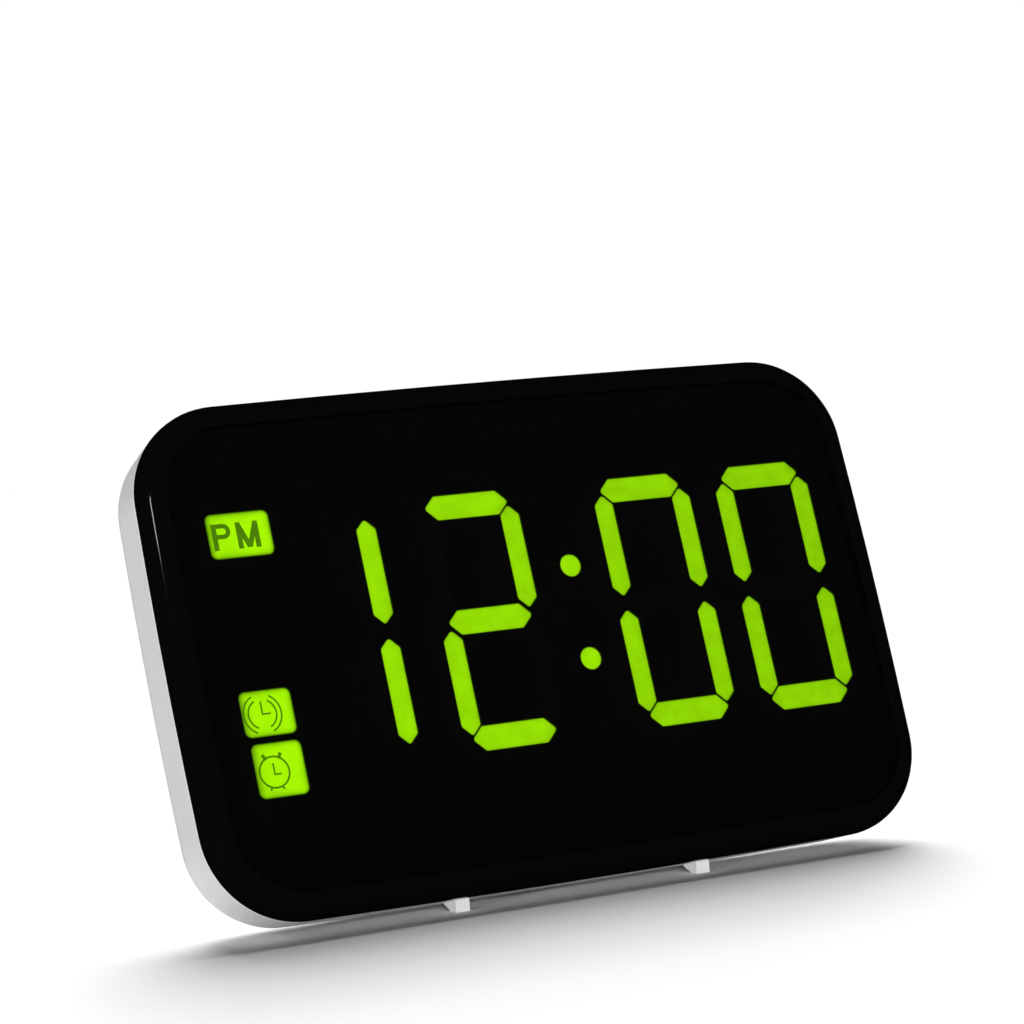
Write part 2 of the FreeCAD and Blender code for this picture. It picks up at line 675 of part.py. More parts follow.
WINDOWS = {"pm": "pm_window", "ring": "ringing_window", "bell": "alarm_on_window"}


def make_light_inserts():
    """The clear plastic inserts that carry the light to the front, and the openings round them."""
    high = amount("0 - display_front")
    low = amount("0 - insert_back")
    lit_bars = Part.Compound(segment_prisms(lambda lit: lit, high, low))
    unlit_bars = Part.Compound(segment_prisms(lambda lit: not lit, high, low))
    finish(drawn("lit_bars", lit_bars), "lit_segments")
    finish(drawn("unlit_bars", unlit_bars), "unlit_segments")
    finish(drawn("colon_discs", Part.Compound(colon_discs(high, low))), "colon_dots")
    for window, node in WINDOWS.items():
        finish(drawn(window + "_pane", window_prism(window, high, low)), node)


def openings(name, high, low):
    grow = amount("cavity_gap")
    shapes = segment_prisms(lambda lit: True, high, low, grow)
    shapes += colon_discs(high, low, grow)
    shapes += [window_prism(window, high, low, grow) for window in WINDOWS]
    return drawn(name, Part.Compound(shapes))


def make_mask_film():
    body = new_body("mask_sheet")
    extruded(body, "Pad", "mask_blank", "0 - mask_front", "0 - mask_back",
             lambda sketch: draw_outline(sketch, "mask_inset"))
    holes = openings("mask_openings", amount("past - mask_front"), amount("0 - mask_back - past"))
    finish(less("mask_cut", body, holes), "mask_film")


BOARD_SCREWS = [("0 - board_screw_left", "board_screw_far"), ("0 - board_screw_left", "0 - board_screw_near"),
                ("board_screw_right", "board_screw_near"), ("board_screw_right", "0 - board_screw_far")]


def make_reflector():
    base = block("reflector_block", ("reflector_left", "reflector_right"),
                 ("reflector_bottom", "reflector_top"), ("0 - board_front", "0 - display_front"))
    wells = openings("reflector_wells", amount("past - display_front"), amount("0 - board_front - past"))
    pilots = [rod(f"reflector_pilot_{index}", (x, y, "0 - board_front - past"),
                  "board_screw_length + past + pilot_spare", "board_screw_radius + pilot_fit")
              for index, (x, y) in enumerate(BOARD_SCREWS)]
    finish(less("reflector_cut", less("reflector_open", base, wells), joined("reflector_pilots", pilots)),
           "reflector")


def corners_of(x, y):
    """The four places with a mirror image left and right, above and below."""
    return [(f"{side} * {x}", f"{way} * {y}") for side in (-1, 1) for way in (-1, 1)]


def make_display_frame():
    body = new_body("display_frame")
    extruded(body, "Pad", "frame_plate", "0 - display_front", "0 - lens_depth",
             lambda sketch: draw_outline(sketch, "frame_inset"))
    across = ("reflector_left - reflector_gap", "reflector_right + reflector_gap")
    up = ("reflector_bottom - reflector_gap", "reflector_top + reflector_gap")
    extruded(body, "Pocket", "frame_window", "past - display_front", "0 - lens_depth - past",
             lambda sketch: draw_rectangle(sketch, across, up))

    def bosses(sketch):
        for x, y in corners_of("tower_x", "tower_y"):
            draw_circle(sketch, x, y, "boss_radius")

    def pilots(sketch):
        for x, y in corners_of("tower_x", "tower_y"):
            draw_circle(sketch, x, y, "screw_pilot")

    extruded(body, "Pad", "frame_bosses", "sunk - lens_depth", "boss_gap - tower_front", bosses)
    extruded(body, "Pocket", "frame_pilots", "sunk - screw_tip", "0 - tower_front - past", pilots)
    finish(body, "display_frame")


# ---- rear shell ----

# from inside the shell's back to outside it
THROUGH_BACK = ("past + shell_wall - shell_back", "0 - shell_back - past")
PIVOT = ("door_bottom + door_thickness / 2", "door_thickness / 2 - hump_back")
BUTTON_X = [f"{place} * button_pitch" for place in (-1.5, -0.5, 0.5, 1.5)]


def button_holes(sketch):
    for x in BUTTON_X:
        draw_rectangle(sketch, *around(x, "button_half_width + button_gap",
                                       "button_y", "button_half_height + button_gap"))


def add_battery_housing(body):
    extruded(body, "Pad", "housing", "sunk - shell_back", "0 - hump_back",
             lambda sketch: draw_rectangle(sketch, ("0 - hump_half_width", "hump_half_width"),
                                           ("hump_bottom", "hump_top")))
    wide = amount("hump_half_width + past")
    low = amount("hump_bottom - past")
    high = amount("hump_top + past")
    back = amount("0 - hump_back - past")
    whole = inside_box((-wide, wide), (low, high), (back, amount("past - shell_back")))
    dress(body, "Fillet", "housing_corners", "hump_corner", both(whole, runs_along("z")))
    dress(body, "Fillet", "housing_back_edge", "hump_edge", lies_at_depth("hump_back"))
    extruded(body, "Pocket", "battery_bay", "0 - bay_floor", "0 - hump_back - past",
             lambda sketch: draw_rectangle(sketch, ("0 - bay_half_width", "bay_half_width"),
                                           ("bay_bottom", "bay_top")))
    extruded(body, "Pocket", "door_recess", "door_thickness - hump_back", "0 - hump_back - past",
             lambda sketch: draw_rectangle(sketch,
                                           ("0 - door_half_width - door_gap", "door_half_width + door_gap"),
                                           ("door_bottom - door_gap", "door_top + door_gap")))
    sideways(body, "Pocket", "pivot_holes", "YZ_Plane", "0",
             "2 * (door_half_width + pin_length + pin_end_gap)",
             lambda sketch: draw_circle(sketch, *PIVOT, "pin_radius + pin_fit"), both_ways=True)
    extruded(body, "Pocket", "finger_notch", "notch_depth - hump_back", "0 - hump_back - past",
             lambda sketch: draw_rectangle(sketch, ("0 - notch_half_width", "notch_half_width"),
                                           ("door_top", "hump_top + past")))


def add_feet(body):
    """Front feet with an upright front and a sloping back, and rear rests, all ending on the table."""
    reach = "(face_height + cos(lean) * foot_root - sin(lean) * foot_depth)"
    front = ("foot_root", "0 - foot_depth")
    toe = (f"foot_root - cos(lean) * {reach}", f"0 - foot_depth - sin(lean) * {reach}")
    heel = (f"{toe[0]} + sin(lean) * foot_land", f"{toe[1]} - cos(lean) * foot_land")
    back = ("foot_root", f"{heel[1]} - foot_flare")
    for side in (-1, 1):
        name = "left" if side < 0 else "right"
        sideways(body, "Pad", f"front_foot_{name}", "YZ_Plane", f"{side} * foot_x", "foot_width",
                 lambda sketch: draw_polygon(sketch, [front, toe, heel, back]), both_ways=True)

    def table(depth):
        """Height up the face where the table is met at this depth."""
        return f"(sin(lean) * ({depth}) - face_height) / cos(lean)"

    root = "hump_bottom + 2 * sunk"
    ends = [(root, "0 - rest_front"), (table("rest_front + rest_slope"), "0 - rest_front - rest_slope"),
            (table("rest_back - rest_slope"), "rest_slope - rest_back"), (root, "0 - rest_back")]
    for side in (-1, 1):
        name = "left" if side < 0 else "right"
        sideways(body, "Pad", f"rear_rest_{name}", "YZ_Plane", f"{side} * rest_x", "rest_width",
                 lambda sketch: draw_polygon(sketch, ends), both_ways=True)


def make_rear_shell():
    body = new_body("rear_shell")
    extruded(body, "Pad", "shell_blank", "0 - lens_depth", "0 - shell_back",
             lambda sketch: draw_outline(sketch, "0"), taper="0 - shell_draft")
    dress(body, "Fillet", "shell_back_edge", "shell_round", lies_at_depth("shell_back"))
    dress(body, "Chamfer", "seam_groove", "seam_chamfer", lies_at_depth("lens_depth"))
    extruded(body, "Pocket", "shell_hollow", "0 - lens_depth", "shell_wall - shell_back",
             lambda sketch: draw_outline(sketch, "shell_wall"), taper="0 - shell_draft")
    dress(body, "Fillet", "shell_inner_edge", "shell_round - shell_wall",
          lies_at_depth("shell_back - shell_wall"))
    add_battery_housing(body)
    add_feet(body)

    def towers(sketch):
        for x, y in corners_of("tower_x", "tower_y"):
            draw_circle(sketch, x, y, "tower_radius")

    def shank_holes(sketch):
        for x, y in corners_of("tower_x", "tower_y"):
            draw_circle(sketch, x, y, "screw_clearance")

    def head_bores(sketch):
        for x, y in corners_of("tower_x", "tower_y"):
            draw_circle(sketch, x, y, "head_bore")

    def sound_holes(sketch):
        draw_circle(sketch, "buzzer_x", "buzzer_y", "grille_hole")
        for step in range(6):
            draw_circle(sketch, f"buzzer_x + grille_ring * cos({60 * step})",
                        f"buzzer_y + grille_ring * sin({60 * step})", "grille_hole")
        draw_circle(sketch, "microphone_x", "microphone_y", "microphone_hole")

    extruded(body, "Pad", "screw_towers", "0 - tower_front", "sunk - shell_back", towers)
    extruded(body, "Pocket", "shank_holes", "past - tower_front", "0 - shell_back - past", shank_holes)
    extruded(body, "Pocket", "head_bores", "0 - head_seat", "0 - shell_back - past", head_bores)
    extruded(body, "Pocket", "button_holes", *THROUGH_BACK, button_holes)
    extruded(body, "Pocket", "sound_holes", *THROUGH_BACK, sound_holes)
    extruded(body, "Pocket", "usb_opening", *THROUGH_BACK,
             lambda sketch: draw_rectangle(sketch, *around("usb_x", "usb_half_width + usb_hole_gap",
                                                           "usb_y", "usb_half_height + usb_hole_gap")))
    extruded(body, "Pocket", "slide_opening", *THROUGH_BACK,
             lambda sketch: draw_rectangle(sketch, *around("slide_x", "knob_half_width + knob_gap", "slide_y",
                                                           "knob_half_height + slide_half_travel + knob_gap")))
    extruded(body, "Pocket", "lead_hole", THROUGH_BACK[0], "0 - bay_floor - past",
             lambda sketch: draw_rectangle(sketch, *around("lead_x", "lead_hole_half_width",
                                                           "0", "lead_hole_half_height")))
    sideways(body, "Pocket", "snooze_slot", "XZ_Plane", "0 - case_height / 2 - 3 * past", "slot_depth",
             lambda sketch: draw_rectangle(sketch, ("0 - bar_half_width - bar_gap", "bar_half_width + bar_gap"),
                                           ("0 - bar_back - bar_gap", "bar_gap - bar_front")), reverse=True)
    finish(body, "rear_shell")


# ---- battery door, cells and contacts ----

def make_battery_door():
    inside = "door_thickness - hump_back"
    plate = block("door_plate", ("0 - door_half_width", "door_half_width"),
                  ("door_bottom + door_thickness / 2", "door_top"), ("0 - hump_back", inside))
    edge = rod("door_lower_edge", ("0 - door_half_width", *PIVOT), "2 * door_half_width",
               "door_thickness / 2", "x")
    pin_starts = {"left": "0 - door_half_width - pin_length", "right": "door_half_width - past"}
    pins = [rod(f"door_pin_{name}", (start, *PIVOT), "pin_length + past", "pin_radius", "x")
            for name, start in pin_starts.items()]
    clip = block("door_clip", ("0 - clip_half_width", "clip_half_width"),
                 ("bay_top - clip_low", "bay_top - clip_gap"), (f"{inside} - sunk", f"{inside} + clip_reach"))
    ribs = [block(f"door_rib_{index}", (f"{place} * rib_pitch - rib_thickness / 2",
                                        f"{place} * rib_pitch + rib_thickness / 2"),
                  ("bay_bottom + rib_low", "bay_top - rib_high"),
                  (f"{inside} - sunk", f"{inside} + rib_height"))
            for index, place in enumerate((-1, 0, 1))]
    grips = []
    for index in range(4):
        top = f"door_top - grip_top - {index} * grip_pitch"
        grips.append(block(f"door_grip_{index}", ("0 - grip_half_width", "grip_half_width"),
                           (f"{top} - grip_width", top), ("0 - hump_back - past", "grip_depth - hump_back")))
    whole = joined("door_whole", [plate, edge, clip] + pins + ribs)
    finish(less("door_cut", whole, joined("door_grips", grips)), "battery_door")


CELL_Y = [f"(bay_bottom + bay_top) / 2 + {place} * cell_pitch" for place in (-1, 0, 1)]
# the way each cell's positive end points, from the lowest cell up
CELL_WAYS = [1, -1, 1]


def cell_ends(way):
    """Where a cell's body starts, its nub starts and its spring starts, along x."""
    plate = "(bay_half_width - contact_thickness)"
    nub = f"{way} * ({plate} - cell_nub)"
    body = nub if way < 0 else f"{nub} - cell_length"
    return body, nub


def make_cells():
    for index, (y, way) in enumerate(zip(CELL_Y, CELL_WAYS), 1):
        body, nub = cell_ends(way)
        can = rod(f"cell_can_{index}", (body, y, "0 - cell_depth"), "cell_length", "cell_radius", "x")
        can = rounded(f"cell_rounded_{index}", can, "cell_round", is_circle)
        start = f"{nub} - sunk" if way > 0 else f"{nub} - cell_nub"
        tip = rod(f"cell_nub_{index}", (start, y, "0 - cell_depth"), "cell_nub + sunk", "nub_radius", "x")
        finish(joined(f"cell_{index}_whole", [can, tip]), f"aaa_cell_{index}")


def make_contacts():
    plates = []
    for end, low, high in (("left", "0 - bay_half_width", "contact_thickness - bay_half_width"),
                           ("right", "bay_half_width - contact_thickness", "bay_half_width")):
        for index, y in enumerate(CELL_Y, 1):
            plates.append(block(f"contact_{end}_{index}", (low, high),
                                *around(y, "contact_half_size", "0 - cell_depth", "contact_half_size")))
    finish(together("contact_set", plates), "contact_plates")


def spring_shape(y, way):
    """A tapering spring from the contact plate to the flat end of a cell: rings joined by short links."""
    plate = amount("bay_half_width - contact_thickness")
    wire = amount("spring_wire")
    slack = amount("spring_gap")
    turn_step = amount("link_turn")
    gap = 2 * plate - amount("cell_length + cell_nub") - 2 * wire - 2 * slack
    turns = int(amount("spring_turns"))
    base, taper = amount("spring_radius"), amount("spring_taper")
    places = [(gap * turn / (turns - 1), base - taper * turn, turn_step * turn) for turn in range(turns)]
    rings = [Part.makeTorus(radius, wire, Vector(0, 0, rise)) for rise, radius, _ in places]
    ends = [Vector(radius * math.cos(math.radians(turn)), radius * math.sin(math.radians(turn)), rise)
            for rise, radius, turn in places]
    links = [Part.makeCylinder(wire, (after - before).Length, before, after - before)
             for before, after in zip(ends, ends[1:])]
    spring = rings[0].multiFuse(rings[1:] + links)
    spring.Placement = Placement(Vector(-way * (plate - wire - slack), amount(y), -amount("cell_depth")),
                                 Rotation(Vector(0, 1, 0), 90 * way))
    return spring


def make_springs():
    springs = [spring_shape(y, way) for y, way in zip(CELL_Y, CELL_WAYS)]
    finish(drawn("spring_set", Part.Compound(springs)), "battery_springs")


# ---- circuit board and what is on it ----

def make_main_board():
    level = ("0 - board_back", "0 - board_front")
    board = block("board_blank", ("reflector_left + board_margin", "reflector_right - board_margin"),
                  ("reflector_bottom + board_margin", "reflector_top - board_margin"), level)
    tab = block("board_tab", ("0 - tab_half_width", "tab_half_width"),
                ("reflector_top - board_margin - sunk", "tab_top"), level)
    holes = [rod(f"board_hole_{index}", (x, y, "0 - board_back - past"),
                 "board_back - board_front + 2 * past", "board_screw_radius + board_hole_gap")
             for index, (x, y) in enumerate(BOARD_SCREWS)]
    finish(less("board_cut", joined("board_whole", [board, tab]), joined("board_holes", holes)), "main_board")


def make_led_chips():
    """One chip behind each segment, dot and window."""
    outlines = [segment_outline(digit, segment, 0) for digit, has, _ in DIGITS for segment in has]
    spots = [sum(outline, Vector()) / len(outline) for outline in outlines]
    spots += colon_middles()
    for window in WINDOWS:
        spots.append(Vector(amount(f"({window}_left + {window}_right) / 2"),
                            amount(f"({window}_bottom + {window}_top) / 2"), 0))
    long, wide, high = amount("led_length"), amount("led_width"), amount("led_height")
    level = amount("0 - board_front")
    chips = [Part.makeBox(long, wide, high, spot + Vector(-long / 2, -wide / 2, level)) for spot in spots]
    finish(drawn("chip_set", Part.Compound(chips)), "led_chips")


CANS = {"large_can": "large_can", "left_can": "small_can", "right_can": "small_can"}


def make_board_parts():
    back = "0 - board_back"
    chip = block("chip_body", *around("0", "chip_half_size", "chip_y", "chip_half_size"),
                 (f"{back} - chip_height", back))
    chip = rounded("chip_rounded", chip, "chip_round", lies_at_depth("board_back + chip_height"))
    finish(chip, "controller_chip")
    crystal = rod("crystal_can", ("crystal_x", "crystal_y", f"{back} - crystal_radius - crystal_gap"),
                  "crystal_length", "crystal_radius", "x")
    finish(crystal, "crystal")
    cans = []
    for place, size in CANS.items():
        can = rod(place, (f"{place}_x", f"{place}_y", f"{back} - {size}_height"), f"{size}_height",
                  f"{size}_radius")
        cans.append(rounded(place + "_rounded", can, "can_round", is_circle))
    finish(together("capacitor_set", cans), "capacitors")
    case = rod("buzzer_case", ("buzzer_x", "buzzer_y", f"{back} - buzzer_height"), "buzzer_height",
               "buzzer_radius")
    mouth = rod("buzzer_mouth", ("buzzer_x", "buzzer_y", f"{back} - buzzer_height - past"),
                "buzzer_hole_depth + past", "buzzer_hole")
    finish(less("buzzer_cut", case, mouth), "buzzer")


def make_microphone():
    back = "0 - board_back"
    capsule = rod("capsule",
                  ("microphone_x", "microphone_y", f"{back} - microphone_height + capsule_setback"),
                  "microphone_height - capsule_setback", "microphone_radius - sleeve_wall - capsule_fit")
    finish(capsule, "microphone")
    sleeve = rod("sleeve_outside", ("microphone_x", "microphone_y", f"{back} - microphone_height"),
                 "microphone_height", "microphone_radius")
    bore = rod("sleeve_bore", ("microphone_x", "microphone_y", f"{back} - microphone_height - past"),
               "microphone_height + 2 * past", "microphone_radius - sleeve_wall")
    finish(less("sleeve_cut", sleeve, bore), "microphone_sleeve")


def make_usb_inlet():
    jack = block("jack_body", *around("usb_x", "usb_half_width", "usb_y", "usb_half_height"),
                 ("0 - usb_back", "0 - board_back"))
    mouth = block("jack_mouth", *around("usb_x", "usb_half_width - usb_wall",
                                        "usb_y", "usb_half_height - usb_wall"),
                  ("0 - usb_back - past", "usb_inside - usb_back"))
    finish(less("jack_cut", jack, mouth), "usb_inlet")
    tongue = block("tongue_body", *around("usb_x", "tongue_half_thickness", "usb_y", "tongue_half_length"),
                   ("tongue_setback - usb_back", "usb_inside - usb_back"))
    finish(tongue, "usb_tongue")


# ---- push switches and their buttons ----

BUTTONS = ["mode_button", "set_button", "up_button", "down_button"]


def make_push_switches():
    cases = []
    for index, x in enumerate(BUTTON_X):
        case = block(f"tact_case_{index}", *around(x, "tact_size / 2", "button_y", "tact_size / 2"),
                     ("0 - board_back - tact_height", "0 - board_back"))
        well = rod(f"tact_well_{index}", (x, "button_y", "0 - board_back - tact_height - past"),
                   "tact_height + past - tact_floor", "tact_hole")
        cases.append(less(f"tact_{index}", case, well))
    finish(together("tact_set", cases), "push_switches")


INNER = "(shell_wall - shell_back)"
KNOB_Y = "(slide_y - slide_half_travel)"


def make_button(node, x):
    """A cap through the shell, a flange that keeps it in, and a rib down to its switch."""
    flange_top = f"{INNER} + flange_gap + flange_thickness"
    cap = block(node + "_cap", *around(x, "button_half_width", "button_y", "button_half_height"),
                ("0 - button_back", f"{INNER} + flange_gap + sunk"))
    cap = rounded(node + "_rounded", cap, "button_round",
                  lambda edge: lies_at_depth("button_back")(edge) or runs_along("z")(edge))
    flange = block(node + "_flange", *around(x, "button_half_width + flange_out",
                                             "button_y", "button_half_height + flange_out"),
                   (f"{INNER} + flange_gap", flange_top))
    rib = rod(node + "_rib", (x, "button_y", flange_top), f"0 - board_back - plunger_top - ({flange_top})",
              "pusher_radius")
    finish(joined(node + "_whole", [cap, flange, rib]), node)
    plunger = rod(node + "_stem", (x, "button_y", "0 - board_back - plunger_top"),
                  "plunger_top - plunger_foot", "plunger_radius")
    finish(plunger, node.replace("button", "plunger"))


def make_snooze_bar():
    """The bar in the top of the case, and the push switch under its middle."""
    cap = block("bar_cap", ("0 - bar_half_width", "bar_half_width"), ("bar_flange_bottom", "bar_top"),
                ("0 - bar_back", "0 - bar_front"))
    top = amount("bar_top")
    cap = rounded("bar_rounded", cap, "bar_round", lambda edge: near(edge.BoundBox.YMin, top))
    flange = block("bar_flange", ("0 - bar_half_width - bar_flange_out", "bar_half_width + bar_flange_out"),
                   ("bar_flange_bottom", "bar_flange_top"),
                   ("0 - bar_back - bar_flange_deep", "bar_flange_deep - bar_front"))
    finish(joined("bar_whole", [cap, flange]), "snooze_bar")
    middle = "0 - (bar_front + bar_back) / 2"
    case = block("snooze_case", ("0 - snooze_half_width", "snooze_half_width"), ("tab_top", "snooze_top"),
                 (f"{middle} - snooze_half_depth", f"{middle} + snooze_half_depth"))
    well = rod("snooze_hole", ("0", "snooze_floor", middle), "snooze_top - snooze_floor + past",
               "snooze_well", "y")
    finish(less("snooze_cut", case, well), "snooze_switch")
    plunger = rod("snooze_plunger_stem", ("0", "stem_low", middle), "bar_flange_bottom - stem_low",
                  "snooze_stem", "y")
    finish(plunger, "snooze_plunger")


def make_slide_switch():
    """The switch on the board with its lever, shown at the lower end of its travel."""
    back = "0 - board_back"
    case = block("slide_case_blank", *around("slide_x", "slide_half_width", "slide_y", "slide_half_height"),
                 (f"{back} - slide_tall", back))
    track = block("slide_track", *around("slide_x", "lever_half_width + lever_gap",
                                         "slide_y", "lever_half_height + slide_half_travel + lever_gap"),
                  (f"{back} - slide_tall - past", f"{back} - track_floor"))
    finish(less("slide_case_cut", case, track), "slide_switch_case")
    lever = block("slide_lever_body", *around("slide_x", "lever_half_width", KNOB_Y, "lever_half_height"),
                  (f"{back} - lever_high", f"{back} - lever_low"))
    finish(lever, "slide_lever")


def make_knob():
    """The knob on the lever: a cap through the shell, a plate that keeps it in, and a neck with a socket."""
    cap = block("knob_body", *around("slide_x", "knob_half_width", KNOB_Y, "knob_half_height"),
                ("0 - shell_back - knob_proud", f"{INNER} + shoe_gap + shoe_thickness / 2"))
    cap = rounded("knob_rounded", cap, "knob_round", lies_at_depth("shell_back + knob_proud"))
    shoe_front = f"{INNER} + shoe_gap + shoe_thickness"
    shoe = block("knob_shoe", *around("slide_x", "shoe_half_width", KNOB_Y, "shoe_half_height"),
                 (f"{INNER} + shoe_gap", shoe_front))
    neck = block("knob_neck", *around("slide_x", "knob_half_width", KNOB_Y, "knob_half_height"),
                 (f"{shoe_front} - shoe_gap", "0 - board_back - neck_low"))
    socket = block("knob_socket", *around("slide_x", "lever_half_width + socket_fit",
                                          KNOB_Y, "lever_half_height + socket_fit"),
                   ("0 - board_back - lever_high - socket_fit", "past - board_back"))
    finish(less("knob_cut", joined("knob_whole", [cap, shoe, neck]), socket), "sound_switch_knob")


# ---- fasteners and leads ----

def screw(name, x, y, seat, head_radius, head_height, shank_radius, tip):
    """A screw driven in from behind, with a cross recess in its head."""
    head = rod(name + "_head", (x, y, f"{seat} - {head_height}"), head_height, head_radius)
    shank = rod(name + "_shank", (x, y, f"{seat} - sunk"), f"({tip}) - ({seat}) + sunk", shank_radius)
    arm = f"{head_radius} * recess_arm"
    slot = f"{head_radius} * recess_wide"
    depth = (f"{seat} - {head_height} - past", f"{seat} - {head_height} + recess_depth")
    cross = joined(name + "_cross", [block(name + "_slot", *around(x, arm, y, slot), depth),
                                     block(name + "_other_slot", *around(x, slot, y, arm), depth)])
    return less(name, joined(name + "_whole", [head, shank]), cross)


def make_screws():
    case_screws = [screw(f"case_screw_{index}", x, y, "0 - head_seat", "head_radius", "head_height",
                         "screw_radius", "0 - screw_tip")
                   for index, (x, y) in enumerate(corners_of("tower_x", "tower_y"))]
    finish(together("case_screw_set", case_screws), "case_screws")
    board_screws = [screw(f"board_screw_{index}", x, y, "0 - board_back", "board_screw_head",
                          "board_head_height", "board_screw_radius", "board_screw_length - board_front")
                    for index, (x, y) in enumerate(BOARD_SCREWS)]
    finish(together("board_screw_set", board_screws), "board_screws")


def lead(corners):
    """A thin covered wire: straight runs joined by tangent arcs, each arc as large as its runs allow."""
    edges = []
    start = corners[0]
    for before, corner, after in zip(corners, corners[1:], corners[2:]):
        into = corner - before
        out = after - corner
        angle = into.getAngle(out)
        trim = 0.45 * min(into.Length, out.Length)
        first = corner - into.normalize() * trim
        last = corner + out.normalize() * trim
        bow = ((first - corner) + (last - corner)).normalize() * (trim / math.sin(angle / 2))
        middle = corner + bow - bow.normalize() * (trim / math.tan(angle / 2)) if angle > 0.01 else corner
        edges += [Part.LineSegment(start, first).toShape(), Part.Arc(first, middle, last).toShape()]
        start = last
    edges.append(Part.LineSegment(start, corners[-1]).toShape())
    path = Part.Wire(edges)
    radius = amount("lead_radius")
    ring = Part.Wire(Part.Edge(Part.Circle(corners[0], corners[1] - corners[0], radius)))
    return path.makePipeShell([ring], True, True)


def make_leads():
    """From the battery bay's floor, through the lead hole, to the back of the board."""
    x = amount("lead_x")
    turn = x - amount("lead_turn")
    far = x - amount("lead_span")
    start = amount("lead_start - bay_floor")
    rise = amount("shell_wall - shell_back + lead_rise")
    board = amount("0 - board_back")
    for node, y in (("red_lead", amount("lead_y")), ("black_lead", -amount("lead_y"))):
        route = [Vector(x, y, start), Vector(x, y, rise), Vector(turn, y, rise + amount("lead_drop")),
                 Vector(far, y, board - amount("lead_end")), Vector(far, y, board)]
        finish(drawn(node + "_tube", lead(route)), node)


# ---- everything ----

make_front_lens()
make_light_inserts()
make_mask_film()
make_reflector()
make_display_frame()
make_rear_shell()
make_battery_door()
make_cells()
make_contacts()
make_springs()
make_main_board()
make_led_chips()
make_board_parts()
make_microphone()
make_usb_inlet()
make_push_switches()
for button, place in zip(BUTTONS, BUTTON_X):
    make_button(button, place)
make_snooze_bar()
make_slide_switch()
make_knob()
make_screws()
make_leads()
DOC.recompute()

for thing in DOC.Objects:
    if "Invalid" in thing.State or "Error" in thing.State:
        raise RuntimeError(f"{thing.Name} failed: {thing.State}")
for piece in PIECES:
    if piece.Shape.isNull() or not piece.Shape.isValid():
        raise RuntimeError(f"{piece.Label} has no valid shape")
os.makedirs("parts", exist_ok=True)
for piece in PIECES:
    piece.Shape.exportStep(f"parts/{piece.Label}.step")
print(len(PIECES), "pieces")
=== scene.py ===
import json
import math

import bmesh
import bpy
from mathutils import Matrix, Vector


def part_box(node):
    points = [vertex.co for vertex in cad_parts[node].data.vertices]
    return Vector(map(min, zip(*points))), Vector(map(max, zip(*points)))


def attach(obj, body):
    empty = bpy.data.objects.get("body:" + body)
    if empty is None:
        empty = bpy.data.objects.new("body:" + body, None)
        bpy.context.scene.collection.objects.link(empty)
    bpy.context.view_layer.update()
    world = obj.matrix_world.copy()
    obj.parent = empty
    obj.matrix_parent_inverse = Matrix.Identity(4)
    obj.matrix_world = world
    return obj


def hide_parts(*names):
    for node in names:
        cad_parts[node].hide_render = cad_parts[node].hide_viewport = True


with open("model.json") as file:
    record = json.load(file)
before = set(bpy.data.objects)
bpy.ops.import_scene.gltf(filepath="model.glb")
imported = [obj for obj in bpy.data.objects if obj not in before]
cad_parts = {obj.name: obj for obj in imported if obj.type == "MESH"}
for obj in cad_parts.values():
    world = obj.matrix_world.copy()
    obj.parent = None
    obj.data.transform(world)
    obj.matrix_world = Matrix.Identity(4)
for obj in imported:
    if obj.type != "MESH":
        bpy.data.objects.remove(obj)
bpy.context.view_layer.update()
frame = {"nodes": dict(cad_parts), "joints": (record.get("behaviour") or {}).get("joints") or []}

MM = 0.001
SCENE = bpy.context.scene
BODY = "clock_body"


# ---- the face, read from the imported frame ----

def joint_axis(name):
    joint = next(item for item in frame["joints"] if item["name"] == name)
    return Vector(joint["axis"]).normalized()


OUT = joint_axis("mode_press")
RIGHT = Vector((1, 0, 0))
UP = OUT.cross(RIGHT)


def lens_centre():
    """The middle of the window's front. Its leaning plate fills its box, which gives height and thickness."""
    low, high = (Vector(corner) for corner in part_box("front_lens"))
    size = high - low
    sine, cosine = UP.y, UP.z
    thickness = (size.y * cosine - size.z * sine) / (cosine ** 2 - sine ** 2)
    return (low + high) / 2 + OUT * thickness / 2


CENTRE = lens_centre()


def on_face(across, up, depth=0.0):
    """A point given in millimetres from the middle of the face, depth counted behind its front."""
    return CENTRE + (RIGHT * across + UP * up - OUT * depth) * MM


def face_place(point):
    """The same the other way: a point's millimetres across, up and behind the front."""
    arm = (Vector(point) - CENTRE) / MM
    return arm.dot(RIGHT), arm.dot(UP), -arm.dot(OUT)


# ---- material building blocks ----

def new_material(name):
    material = bpy.data.materials.new(name)
    material.use_nodes = True
    tree = material.node_tree
    tree.nodes.clear()
    output = tree.nodes.new("ShaderNodeOutputMaterial")
    shader = tree.nodes.new("ShaderNodeBsdfPrincipled")
    tree.links.new(shader.outputs["BSDF"], output.inputs["Surface"])
    return material, tree, shader


def place_node(tree, stretch=(1, 1, 1)):
    """Object coordinates in millimetres, stretched where a grain runs one way."""
    coordinates = tree.nodes.new("ShaderNodeTexCoord")
    mapping = tree.nodes.new("ShaderNodeMapping")
    mapping.inputs["Scale"].default_value = [value / MM for value in stretch]
    tree.links.new(coordinates.outputs["Object"], mapping.inputs["Vector"])
    return mapping.outputs["Vector"]


def noise(tree, place, scale, detail=3.0, roughness=0.55):
    node = tree.nodes.new("ShaderNodeTexNoise")
    node.inputs["Scale"].default_value = scale
    node.inputs["Detail"].default_value = detail
    node.inputs["Roughness"].default_value = roughness
    tree.links.new(place, node.inputs["Vector"])
    return node.outputs["Fac"]


